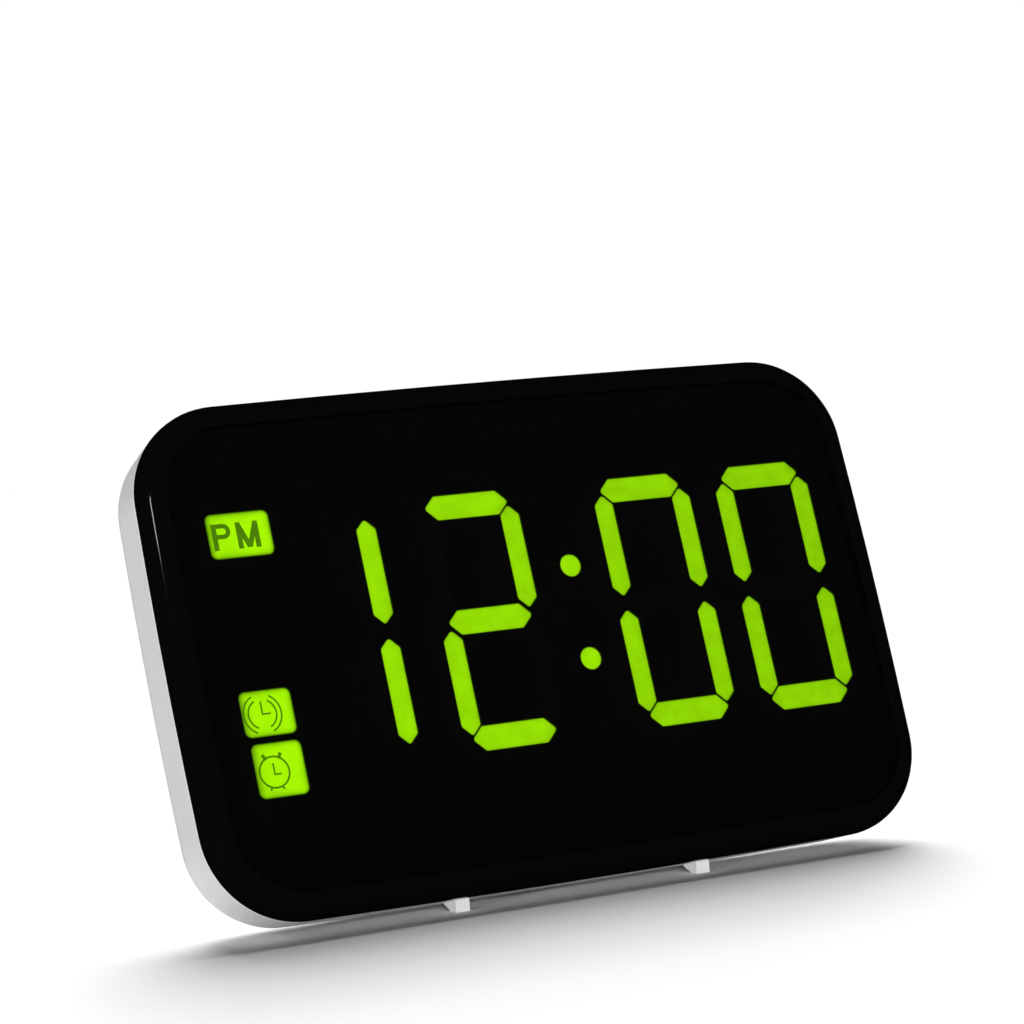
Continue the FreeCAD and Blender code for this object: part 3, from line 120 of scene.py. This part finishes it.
def spread(tree, value, low, high, start=0.3, end=0.7):
    """Maps a noise value to a range of numbers."""
    node = tree.nodes.new("ShaderNodeMapRange")
    for name, number in (("From Min", start), ("From Max", end), ("To Min", low), ("To Max", high)):
        node.inputs[name].default_value = number
    tree.links.new(value, node.inputs["Value"])
    return node.outputs["Result"]


def ramp(tree, value, stops):
    node = tree.nodes.new("ShaderNodeValToRGB")
    elements = node.color_ramp.elements
    while len(elements) < len(stops):
        elements.new(0.5)
    for element, (position, colour) in zip(elements, stops):
        element.position = position
        element.color = (*colour, 1)
    tree.links.new(value, node.inputs["Fac"])
    return node.outputs["Color"]


def bump(tree, shader, height, strength, distance):
    node = tree.nodes.new("ShaderNodeBump")
    node.inputs["Strength"].default_value = strength
    node.inputs["Distance"].default_value = distance * MM
    tree.links.new(height, node.inputs["Height"])
    tree.links.new(node.outputs["Normal"], shader.inputs["Normal"])


def shade(colour, factor):
    return tuple(min(1.0, value * factor) for value in colour)


def plastic(name, colour, roughness, grain=3.0, relief=0.012, mottle=0.04):
    """Moulded plastic: faint mottling, a fine spark-eroded grain and slightly uneven gloss."""
    material, tree, shader = new_material(name)
    place = place_node(tree)
    cloud = noise(tree, place, scale=0.12, detail=4.0)
    colours = ramp(tree, cloud, [(0.3, shade(colour, 1 - mottle)), (0.7, shade(colour, 1 + mottle))])
    tree.links.new(colours, shader.inputs["Base Color"])
    patches = noise(tree, place, scale=0.5)
    tree.links.new(spread(tree, patches, roughness - 0.05, roughness + 0.05), shader.inputs["Roughness"])
    bump(tree, shader, noise(tree, place, grain, detail=2.0), strength=0.35, distance=relief)
    return material


def metal(name, colour, roughness, stretch=(1, 1, 1)):
    """Plated or brushed metal with fine drawn marks and a little tarnish."""
    material, tree, shader = new_material(name)
    place = place_node(tree, stretch)
    marks = noise(tree, place, scale=2.0, detail=5.0)
    tree.links.new(ramp(tree, marks, [(0.3, shade(colour, 0.86)), (0.7, shade(colour, 1.08))]),
                   shader.inputs["Base Color"])
    tree.links.new(spread(tree, marks, roughness - 0.07, roughness + 0.1), shader.inputs["Roughness"])
    shader.inputs["Metallic"].default_value = 1.0
    bump(tree, shader, marks, strength=0.3, distance=0.01)
    return material


# ---- the object's materials ----

def gloss_black(name, index, alpha=1.0):
    """Polished black: almost no colour, with hair-fine wiping marks that only touch the gloss."""
    material, tree, shader = new_material(name)
    place = place_node(tree)
    dust = noise(tree, place, scale=1.4, detail=6.0, roughness=0.7)
    tree.links.new(ramp(tree, dust, [(0.35, (0.0012, 0.0012, 0.0013)), (0.75, (0.0026, 0.0026, 0.0028))]),
                   shader.inputs["Base Color"])
    wiping = noise(tree, place_node(tree, (0.25, 3.0, 3.0)), scale=0.9, detail=4.0)
    tree.links.new(spread(tree, wiping, low=0.03, high=0.075), shader.inputs["Roughness"])
    shader.inputs["IOR"].default_value = index
    shader.inputs["Alpha"].default_value = alpha
    bump(tree, shader, noise(tree, place, scale=0.35, detail=1.0), strength=0.12, distance=0.01)
    return material


GLOW_COLOURS = [
    (0.0, (0.0, 0.002, 0.0)),
    (0.35, (0.045, 0.15, 0.0)),
    (0.7, (0.2, 0.5, 0.0)),
    (1.0, (0.40, 0.97, 0.0)),
]


def lit_plastic(name, strength):
    """Light guide: the mesh's glow value sets how strongly each place shines."""
    material, tree, shader = new_material(name)
    glow = tree.nodes.new("ShaderNodeAttribute")
    glow.attribute_name = "glow"
    place = place_node(tree)
    uneven = spread(tree, noise(tree, place, scale=0.35, detail=2.0), low=0.955, high=1.045)
    product = tree.nodes.new("ShaderNodeMath")
    product.operation = "MULTIPLY"
    tree.links.new(glow.outputs["Fac"], product.inputs[0])
    tree.links.new(uneven, product.inputs[1])
    tree.links.new(ramp(tree, product.outputs["Value"], GLOW_COLOURS), shader.inputs["Emission Color"])
    shader.inputs["Emission Strength"].default_value = strength
    shader.inputs["Base Color"].default_value = (0.012, 0.03, 0.002, 1)
    shader.inputs["Roughness"].default_value = 0.5
    bump(tree, shader, noise(tree, place, scale=2.5, detail=2.0), strength=0.2, distance=0.01)
    return material


def print_ink(name, strength):
    """Dark green ink on a lit window, lit through a little from behind."""
    material, tree, shader = new_material(name)
    blotch = noise(tree, place_node(tree), scale=2.2, detail=3.0)
    tree.links.new(ramp(tree, blotch, [(0.3, (0.055, 0.17, 0.002)), (0.7, (0.085, 0.25, 0.002))]),
                   shader.inputs["Emission Color"])
    shader.inputs["Emission Strength"].default_value = strength
    shader.inputs["Base Color"].default_value = (0.003, 0.008, 0.001, 1)
    shader.inputs["Roughness"].default_value = 0.6
    return material


def circuit_board(name):
    """Green lacquer with darker and lighter areas where the copper lies under it."""
    material, tree, shader = new_material(name)
    place = place_node(tree)
    copper = tree.nodes.new("ShaderNodeTexBrick")
    copper.inputs["Scale"].default_value = 0.35
    copper.inputs["Mortar Size"].default_value = 0.06
    for socket, colour in (("Color1", (0.012, 0.13, 0.045)), ("Color2", (0.016, 0.17, 0.06)),
                           ("Mortar", (0.03, 0.24, 0.09))):
        copper.inputs[socket].default_value = (*colour, 1)
    tree.links.new(place, copper.inputs["Vector"])
    tree.links.new(copper.outputs["Color"], shader.inputs["Base Color"])
    lacquer = noise(tree, place, scale=1.0)
    tree.links.new(spread(tree, lacquer, low=0.2, high=0.34), shader.inputs["Roughness"])
    bump(tree, shader, copper.outputs["Fac"], strength=0.3, distance=0.03)
    return material


# how far behind the window's front the reflector's printing starts to give way to its white wells, and ends
PRINT_DEPTHS = (3.4, 3.6)


def reflector_plastic(name):
    """White wells behind a face that is printed black."""
    material, tree, shader = new_material(name)
    place = tree.nodes.new("ShaderNodeTexCoord").outputs["Object"]
    depth = tree.nodes.new("ShaderNodeVectorMath")
    depth.operation = "DOT_PRODUCT"
    depth.inputs[1].default_value = -OUT / MM
    tree.links.new(place, depth.inputs[0])
    front = -CENTRE.dot(OUT) / MM
    start, end = (front + value for value in PRINT_DEPTHS)
    bare = spread(tree, depth.outputs["Value"], 0.0, 1.0, start, end)
    tree.links.new(ramp(tree, bare, [(0.0, (0.004, 0.004, 0.004)), (1.0, (0.8, 0.8, 0.78))]),
                   shader.inputs["Base Color"])
    shader.inputs["Roughness"].default_value = 0.55
    bump(tree, shader, noise(tree, place_node(tree), scale=3.0), strength=0.3, distance=0.01)
    return material


WHITE = (0.68, 0.68, 0.695)
SMOKED = gloss_black("smoked_window", index=1.95, alpha=0.3)
BEZEL = gloss_black("gloss_bezel", index=1.49)
MATT_BLACK = plastic("matt_black_film", (0.003, 0.003, 0.003), 0.7)
DARK_FRAME = plastic("dark_frame", (0.006, 0.006, 0.006), 0.6)
SHELL = plastic("white_shell_plastic", WHITE, 0.4, mottle=0.012)
BUTTON = plastic("grey_button_plastic", (0.42, 0.43, 0.44), 0.42)
SWITCH = plastic("switch_housing_plastic", (0.05, 0.05, 0.052), 0.45)
CHIP = plastic("moulded_chip", (0.012, 0.012, 0.013), 0.5)
UNLIT = plastic("unlit_guide", (0.004, 0.0045, 0.004), 0.5)
LED = plastic("led_phosphor", (0.8, 0.72, 0.3), 0.3)
CELL = plastic("cell_sleeve", (0.03, 0.09, 0.24), 0.28)
RUBBER = plastic("black_rubber", (0.015, 0.015, 0.015), 0.75, grain=5.0)
RED_COVER = plastic("red_lead_cover", (0.5, 0.012, 0.01), 0.4)
BLACK_COVER = plastic("black_lead_cover", (0.012, 0.012, 0.012), 0.4)
NICKEL = metal("nickel_plate", (0.72, 0.69, 0.64), 0.25)
STEEL = metal("screw_steel_finish", (0.5, 0.5, 0.51), 0.34)
CAN = metal("capacitor_can_finish", (0.66, 0.67, 0.7), 0.32, stretch=(1, 1, 6))
BOARD = circuit_board("board_lacquer")
WELLS = reflector_plastic("reflector_wells")
SEGMENT_LIGHT = lit_plastic("segment_light", strength=1.78)
WINDOW_LIGHT = lit_plastic("window_light", strength=1.95)
INK = print_ink("window_ink", strength=2.0)

FINISHED_NODES = [
    (SMOKED, ["front_lens"]),
    (BEZEL, ["front_bezel"]),
    (MATT_BLACK, ["mask_film"]),
    (DARK_FRAME, ["display_frame"]),
    (WELLS, ["reflector"]),
    (UNLIT, ["unlit_segments"]),
    (SHELL, ["rear_shell", "battery_door", "snooze_bar"]),
    (BUTTON, ["sound_switch_knob", "mode_button", "set_button", "up_button", "down_button"]),
    (CHIP, ["snooze_plunger", "mode_plunger", "set_plunger", "up_plunger", "down_plunger"]),
    (CHIP, ["controller_chip", "buzzer", "usb_tongue", "slide_lever"]),
    (SWITCH, ["push_switches", "snooze_switch"]),
    (LED, ["led_chips"]),
    (BOARD, ["main_board"]),
    (CELL, ["aaa_cell_1", "aaa_cell_2", "aaa_cell_3"]),
    (NICKEL, ["contact_plates", "battery_springs", "crystal", "microphone", "usb_inlet"]),
    (NICKEL, ["slide_switch_case"]),
    (CAN, ["capacitors"]),
    (RUBBER, ["microphone_sleeve"]),
    (STEEL, ["case_screws", "board_screws"]),
    (RED_COVER, ["red_lead"]),
    (BLACK_COVER, ["black_lead"]),
]
for finish, node_names in FINISHED_NODES:
    for node_name in node_names:
        for material_slot in frame["nodes"][node_name].material_slots:
            material_slot.material = finish


# ---- meshes ----

def new_piece(name, mesh_data, material, slot, *replaced):
    """Makes an object of a bmesh, puts it on the clock's body and hides the CAD parts that it replaces. The
    slot it is given is not used.
    """
    mesh = bpy.data.meshes.new(name)
    mesh_data.normal_update()
    mesh_data.to_mesh(mesh)
    mesh_data.free()
    mesh.materials.append(material)
    piece = bpy.data.objects.new(name, mesh)
    SCENE.collection.objects.link(piece)
    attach(piece, BODY)
    if replaced:
        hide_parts(*replaced)


def islands(node):
    """The lows and highs of a CAD node's separate solids, in millimetres across, up and behind the front."""
    copy = bmesh.new()
    copy.from_mesh(frame["nodes"][node].data)
    bmesh.ops.remove_doubles(copy, verts=copy.verts, dist=1e-6)
    seen = set()
    boxes = []
    for start in copy.verts:
        if start in seen:
            continue
        seen.add(start)
        group = [start]
        for vertex in group:
            for edge in vertex.link_edges:
                other = edge.other_vert(vertex)
                if other not in seen:
                    seen.add(other)
                    group.append(other)
        places = [face_place(vertex.co) for vertex in group]
        boxes.append([(min(values), max(values)) for values in zip(*places)])
    copy.free()
    return sorted(boxes)


def rounded_loop(corners, rounding, steps=5):
    """A loop of points through convex corners, each corner turned into an arc."""
    loop = []
    count = len(corners)
    for index, corner in enumerate(corners):
        before = (corners[index - 1] - corner).normalized()
        after = (corners[(index + 1) % count] - corner).normalized()
        half = before.angle(after) / 2
        reach = rounding / math.tan(half)
        middle = corner + (before + after).normalized() * rounding / math.sin(half)
        first = corner + before * reach - middle
        turn = math.pi - 2 * half
        side = 1 if before.x * after.y - before.y * after.x < 0 else -1
        for step in range(steps + 1):
            loop.append(middle + first @ Matrix.Rotation(-side * turn * step / steps, 2))
    return loop


def bar_corners(middle, length, width, upright):
    """The six corners of a bar with pointed ends."""
    half = length / 2
    thick = width / 2
    ends = [(half, 0), (half - thick, thick), (thick - half, thick), (-half, 0), (thick - half, -thick),
            (half - thick, -thick)]
    if upright:
        ends = [(-across, along) for along, across in ends]
    return [middle + Vector(end) for end in ends]


def lay_loops(data, rings, glow_layer, brightness):
    """Joins rings of points into one closed solid. A ring is (loop, depth, glow)."""
    made = []
    for loop, depth, glow in rings:
        ring = []
        for point in loop:
            vertex = data.verts.new(on_face(point.x, point.y, depth))
            vertex[glow_layer] = glow * brightness(point)
            ring.append(vertex)
        made.append(ring)
    count = len(made[0])
    for outer, inner in zip(made, made[1:]):
        for index in range(count):
            following = (index + 1) % count
            data.faces.new((outer[index], outer[following], inner[following], inner[index]))
    data.faces.new(made[0][::-1])
    data.faces.new(made[-1])


# a light guide's back and front, counted behind the window's front, and the small bevel round its front
BACK_DEPTH = 5.0
FRONT_DEPTH = 2.5
BEVEL_DEPTH = 0.12
BEVEL_INSET = 0.02
LEAST_ROUNDING = 0.12
BACK_GLOW = 0.5


def glow_rings(corners_at, edges, rounding):
    """Rings from the back of a light guide, up its side and across its front, brighter towards the middle."""
    outline = rounded_loop(corners_at(0), rounding)
    rings = [(outline, BACK_DEPTH, BACK_GLOW), (outline, FRONT_DEPTH + BEVEL_DEPTH, edges[0][1])]
    for inset, glow in edges:
        loop = rounded_loop(corners_at(inset + BEVEL_INSET), max(LEAST_ROUNDING, rounding - inset))
        rings.append((loop, FRONT_DEPTH, glow))
    return rings


# how bright a front is at distances in from its edge
SEGMENT_EDGES = [(0.0, 0.62), (0.12, 0.9), (0.35, 0.97), (0.9, 1.0)]
SEGMENT_ROUND = 0.55
# light lost towards a bar's ends, and from the leftmost bar to the rightmost
END_FADE = 0.13
SIDE_FADE = 0.10


def make_segments():
    """One piece of light guide for each segment, as bright in its middle as the lamp behind makes it."""
    places = islands("lit_segments")
    start = min(box[0][0] for box in places)
    span = max(box[0][1] for box in places) - start
    for number, (across, up, _) in enumerate(places, 1):
        middle = Vector((sum(across) / 2, sum(up) / 2))
        wide, tall = across[1] - across[0], up[1] - up[0]
        upright = tall > wide
        length, width = max(wide, tall), min(wide, tall)
        # a rounded point is shorter than the sharp one that it is cut from
        length += 2 * SEGMENT_ROUND * (math.sqrt(2) - 1)

        def corners_at(inset):
            return bar_corners(middle, length - 2 * math.sqrt(2) * inset, width - 2 * inset, upright)

        def brightness(point):
            away = (point - middle).length / (length / 2)
            return 1 - END_FADE * away ** 2 - SIDE_FADE * (point.x - start) / span

        data = bmesh.new()
        glow_layer = data.verts.layers.float.new("glow")
        lay_loops(data, glow_rings(corners_at, SEGMENT_EDGES, SEGMENT_ROUND), glow_layer, brightness)
        new_piece(f"segment_light_{number:02d}", data, SEGMENT_LIGHT, "lit_green", "lit_segments")


DOT_STEPS = 48
DOT_SIDE_GLOW = 0.42
DOT_BRIGHTNESS = 0.95


def make_colon():
    for number, (across, up, _) in enumerate(islands("colon_dots"), 1):
        middle = Vector((sum(across) / 2, sum(up) / 2))
        radius = (across[1] - across[0]) / 2
        data = bmesh.new()
        glow_layer = data.verts.layers.float.new("glow")

        def circle(inset):
            return [middle + Vector((radius - inset, 0)) @ Matrix.Rotation(-math.tau * step / DOT_STEPS, 2)
                    for step in range(DOT_STEPS)]

        rings = [(circle(0), BACK_DEPTH, BACK_GLOW), (circle(0), FRONT_DEPTH + BEVEL_DEPTH, DOT_SIDE_GLOW)]
        rings += [(circle(inset + BEVEL_INSET), FRONT_DEPTH, glow) for inset, glow in SEGMENT_EDGES]
        lay_loops(data, rings, glow_layer, lambda point: DOT_BRIGHTNESS)
        new_piece(f"colon_light_{number}", data, SEGMENT_LIGHT, "lit_green", "colon_dots")


WINDOW_EDGES = [(0.0, 0.3), (0.15, 0.62), (0.35, 0.84), (0.7, 0.95), (1.2, 1.0), (2.2, 1.0)]
WINDOW_ROUND = 1.1
# light lost at a window's left edge, and how far in the loss reaches
LEFT_FADE = 0.3
LEFT_FADE_WIDTH = 1.6


def window_middle(node):
    across, up, _ = islands(node)[0]
    return Vector((sum(across) / 2, sum(up) / 2))


def make_window(node):
    """A lit pane whose light falls off towards its edges, most on the left."""
    across, up, _ = islands(node)[0]
    data = bmesh.new()
    glow_layer = data.verts.layers.float.new("glow")

    def corners_at(inset):
        left, right, bottom, top = across[0] + inset, across[1] - inset, up[0] + inset, up[1] - inset
        return [Vector((left, bottom)), Vector((right, bottom)), Vector((right, top)), Vector((left, top))]

    def brightness(point):
        from_left = (point.x - across[0]) / LEFT_FADE_WIDTH
        return 1 - LEFT_FADE * max(0.0, 1 - from_left)

    lay_loops(data, glow_rings(corners_at, WINDOW_EDGES, WINDOW_ROUND), glow_layer, brightness)
    new_piece(node.replace("window", "light"), data, WINDOW_LIGHT, "lit_window", node)


# ---- marks printed on the windows ----

# the ink's back and front, counted behind the window's front
INK_LOW = 2.5
INK_HIGH = 2.47


def ribbon(data, points, width, closed=False):
    """A flat line of ink along points, mitred at its corners, as a thin closed solid."""
    count = len(points)
    left, right = [], []
    for index, point in enumerate(points):
        before = points[index - 1] if closed or index else None
        after = points[(index + 1) % count] if closed or index < count - 1 else None
        ways = []
        if before is not None:
            ways.append((point - before).normalized())
        if after is not None:
            ways.append((after - point).normalized())
        normals = [Vector((-way.y, way.x)) for way in ways]
        mitre = sum(normals, Vector((0, 0))).normalized()
        reach = width / 2 / max(0.4, mitre.dot(normals[0]))
        left.append(point + mitre * reach)
        right.append(point - mitre * reach)

    def row(side, depth):
        return [data.verts.new(on_face(point.x, point.y, depth)) for point in side]

    top_left, top_right = row(left, INK_HIGH), row(right, INK_HIGH)
    low_left, low_right = row(left, INK_LOW), row(right, INK_LOW)
    last = count if closed else count - 1
    for index in range(last):
        following = (index + 1) % count
        for one, other in ((top_right, top_left), (low_left, low_right), (low_right, top_right),
                           (top_left, low_left)):
            data.faces.new((one[index], one[following], other[following], other[index]))
    if not closed:
        data.faces.new((top_left[0], low_left[0], low_right[0], top_right[0]))
        data.faces.new((top_right[-1], low_right[-1], low_left[-1], top_left[-1]))


def arc(middle, radius, start, end, steps=24):
    """Points on an arc, its angles in degrees counted from the right."""
    return [middle + Vector((math.cos(angle), math.sin(angle))) * radius
            for angle in (math.radians(start + (end - start) * step / steps) for step in range(steps + 1))]


def make_hands(data, middle, tall, wide, width):
    """An L of two clock hands, at twelve and three."""
    ribbon(data, [middle + Vector((0, tall)), middle, middle + Vector((wide, 0))], width)


# the letters, in millimetres from the middle of their window
LETTERS_AT = Vector((-0.25, -0.1))
LETTER_TALL = 4.2
STEM = 0.82
P_STEM_AT = -3.85
BOWL_STROKE = STEM * 0.86
BOWL_RADIUS = 0.85
BOWL_REACH = 1.5
BOWL_LIFT = 0.05
M_STEMS_AT = (0.2, 3.1)
VALLEY_LIFT = 0.2
SHOULDER_DROP = 0.3


def make_letters():
    """The letters P and M, a generic mark for the afternoon."""
    data = bmesh.new()
    middle = window_middle("pm_window") + LETTERS_AT
    low, high = middle.y - LETTER_TALL / 2, middle.y + LETTER_TALL / 2
    stem = middle.x + P_STEM_AT
    ribbon(data, [Vector((stem, low)), Vector((stem, high))], STEM)
    bowl_middle = Vector((stem + BOWL_REACH, high - STEM / 2 - BOWL_RADIUS + BOWL_LIFT))
    bowl = [Vector((stem, bowl_middle.y + BOWL_RADIUS))]
    bowl += arc(bowl_middle, BOWL_RADIUS, 90, -90)
    bowl.append(Vector((stem, bowl_middle.y - BOWL_RADIUS)))
    ribbon(data, bowl, BOWL_STROKE)
    left, right = (middle.x + place for place in M_STEMS_AT)
    valley = Vector(((left + right) / 2, low + VALLEY_LIFT))
    ribbon(data, [Vector((left, low)), Vector((left, high))], STEM)
    ribbon(data, [Vector((right, low)), Vector((right, high))], STEM)
    ribbon(data, [Vector((left, high - SHOULDER_DROP)), valley], STEM)
    ribbon(data, [valley, Vector((right, high - SHOULDER_DROP))], STEM)
    new_piece("afternoon_print", data, INK, "lit_window")


# the ringing mark, with arcs in degrees from the right
LINE = 0.27
RINGING_AT = Vector((-0.85, -0.1))
ARC_RADII = (2.3, 3.1)
LEFT_ARC = (115, 245)
RIGHT_ARC = (-65, 62)
RINGING_HANDS = (2.0, 1.36)


def make_ringing_mark():
    """Clock hands between two pairs of arcs: the alarm is ringing."""
    data = bmesh.new()
    middle = window_middle("ringing_window") + RINGING_AT
    for radius in ARC_RADII:
        ribbon(data, arc(middle, radius, *LEFT_ARC), LINE)
        ribbon(data, arc(middle, radius, *RIGHT_ARC), LINE)
    make_hands(data, middle, *RINGING_HANDS, LINE)
    new_piece("ringing_print", data, INK, "lit_window")


# the alarm mark: each bell and foot is a short thick line beside the dial, given by its two ends on the right
ALARM_AT = Vector((-1.0, -0.3))
DIAL_RADIUS = 2.42
DIAL_LINE = LINE * 1.1
DIAL_STEPS = 47
BELL = ((1.5, 2.85), (1.13, 2.2))
BELL_WIDTH = 0.55
FOOT = ((1.15, -2.75), (0.8, -2.3))
FOOT_WIDTH = 0.3
ALARM_HANDS_AT = Vector((0, -0.35))
ALARM_HANDS = (1.73, 1.14)


def make_alarm_mark():
    """A round clock with two bells and two feet: the alarm is on."""
    data = bmesh.new()
    middle = window_middle("alarm_on_window") + ALARM_AT
    ribbon(data, arc(middle, DIAL_RADIUS, 0, 360, DIAL_STEPS)[:-1], DIAL_LINE, closed=True)
    for side in (-1, 1):
        for ends, width in ((BELL, BELL_WIDTH), (FOOT, FOOT_WIDTH)):
            ribbon(data, [middle + Vector((side * across, up)) for across, up in ends], width)
    make_hands(data, middle + ALARM_HANDS_AT, *ALARM_HANDS, LINE)
    new_piece("alarm_on_print", data, INK, "lit_window")


make_segments()
make_colon()
for lit_window in ("pm_window", "ringing_window", "alarm_on_window"):
    make_window(lit_window)
make_letters()
make_ringing_mark()
make_alarm_mark()


# ---- studio ----

FLOOR_HALF = 4.0


def make_floor():
    """A large pale table top, dead flat, which the gloss doesn't mirror."""
    mesh = bpy.data.meshes.new("floor")
    corners = [(-FLOOR_HALF, -FLOOR_HALF, 0), (FLOOR_HALF, -FLOOR_HALF, 0), (FLOOR_HALF, FLOOR_HALF, 0),
               (-FLOOR_HALF, FLOOR_HALF, 0)]
    mesh.from_pydata(corners, [], [(0, 1, 2, 3)])
    material, _, shader = new_material("pale_floor")
    shader.inputs["Base Color"].default_value = (0.97, 0.97, 0.97, 1)
    shader.inputs["Roughness"].default_value = 0.9
    shader.inputs["Specular IOR Level"].default_value = 0.0
    mesh.materials.append(material)
    floor = bpy.data.objects.new("floor", mesh)
    SCENE.collection.objects.link(floor)
    floor.visible_glossy = False


def background(tree, strength):
    node = tree.nodes.new("ShaderNodeBackground")
    node.inputs["Color"].default_value = (1, 1, 1, 1)
    node.inputs["Strength"].default_value = strength
    return node.outputs["Background"]


def make_world(fill):
    """White behind the clock, a soft fill on it, and nothing bright for the gloss to mirror."""
    world = bpy.data.worlds.new("studio")
    SCENE.world = world
    world.use_nodes = True
    tree = world.node_tree
    tree.nodes.clear()
    output = tree.nodes.new("ShaderNodeOutputWorld")
    path = tree.nodes.new("ShaderNodeLightPath")
    seen = tree.nodes.new("ShaderNodeMixShader")
    mirrored = tree.nodes.new("ShaderNodeMixShader")
    tree.links.new(path.outputs["Is Glossy Ray"], mirrored.inputs[0])
    tree.links.new(background(tree, fill), mirrored.inputs[1])
    tree.links.new(background(tree, 0.0), mirrored.inputs[2])
    tree.links.new(path.outputs["Is Camera Ray"], seen.inputs[0])
    tree.links.new(mirrored.outputs[0], seen.inputs[1])
    tree.links.new(background(tree, 1.0), seen.inputs[2])
    tree.links.new(seen.outputs[0], output.inputs["Surface"])


def strip_lamp(name, way, distance, size, power):
    """A small lamp on a direction from the middle of the face, turned towards it, which the gloss mirrors."""
    data = bpy.data.lights.new(name, "AREA")
    data.shape = "RECTANGLE"
    data.size, data.size_y = size
    data.energy = power
    lamp = bpy.data.objects.new(name, data)
    lamp.location = CENTRE + Vector(way).normalized() * distance
    lamp.rotation_euler = (CENTRE - lamp.location).to_track_quat("-Z", "Y").to_euler()
    SCENE.collection.objects.link(lamp)


def far_lamp(name, azimuth, elevation, spread, strength):
    """A far lamp, as even over the whole floor as on the clock. Azimuth 0 is straight behind the clock."""
    data = bpy.data.lights.new(name, "SUN")
    data.energy = strength
    data.angle = math.radians(spread)
    around, above = math.radians(azimuth), math.radians(elevation)
    way = Vector((math.sin(around) * math.cos(above), math.cos(around) * math.cos(above), math.sin(above)))
    lamp = bpy.data.objects.new(name, data)
    lamp.rotation_euler = (-way).to_track_quat("-Z", "Y").to_euler()
    lamp.visible_glossy = False
    SCENE.collection.objects.link(lamp)


WORLD_FILL = 0.05
# each far lamp's azimuth, elevation and spread in degrees, and its strength
FAR_LAMPS = {
    "back_high": (27, 60, 40, 3.0),
    "back_low": (27, 32, 30, 1.25),
    "left_fill": (-115, 2, 4, 1.22),
    "front_fill": (-165, 2, 4, 2.2),
}
STRIP_WAY = (-0.676, -0.345, 0.359)
STRIP_DISTANCE = 0.84
STRIP_SIZE = (0.05, 0.09)
STRIP_POWER = 0.17


def make_lights():
    for name, values in FAR_LAMPS.items():
        far_lamp(name, *values)
    strip_lamp("left_strip", STRIP_WAY, STRIP_DISTANCE, STRIP_SIZE, STRIP_POWER)


# azimuth 0 is straight in front of the clock, and the distance is in metres from the middle of its face
CAMERA_AZIMUTH = -27.487
CAMERA_ELEVATION = 3.784
CAMERA_DISTANCE = 0.5385
# how far the camera points past the middle of the face, and how far it is tipped sideways, in degrees
AIM_RIGHT = -0.434
AIM_DOWN = -1.869
TIP = -4.896
LENS_LENGTH = 119.8
SENSOR_WIDTH = 36.0


def make_camera():
    azimuth, elevation = math.radians(CAMERA_AZIMUTH), math.radians(CAMERA_ELEVATION)
    away = Vector((math.sin(azimuth) * math.cos(elevation), -math.cos(azimuth) * math.cos(elevation),
                   math.sin(elevation)))
    yaw = -azimuth + math.radians(AIM_RIGHT)
    pitch = elevation + math.radians(AIM_DOWN)
    ahead = Vector((math.sin(yaw) * math.cos(pitch), math.cos(yaw) * math.cos(pitch), -math.sin(pitch)))
    right = Vector((math.cos(yaw), -math.sin(yaw), 0))
    above = right.cross(ahead)
    tip = math.radians(TIP)
    tipped_right = right * math.cos(tip) + above * math.sin(tip)
    tipped_above = above * math.cos(tip) - right * math.sin(tip)
    data = bpy.data.cameras.new("camera")
    data.sensor_width = SENSOR_WIDTH
    data.lens = LENS_LENGTH
    camera = bpy.data.objects.new("camera", data)
    turn = Matrix((tipped_right, tipped_above, -ahead)).transposed()
    camera.matrix_world = Matrix.LocRotScale(CENTRE + away * CAMERA_DISTANCE, turn.to_quaternion(), None)
    SCENE.collection.objects.link(camera)
    SCENE.camera = camera


make_floor()
make_world(WORLD_FILL)
make_lights()
make_camera()
SCENE.view_settings.view_transform = "Standard"
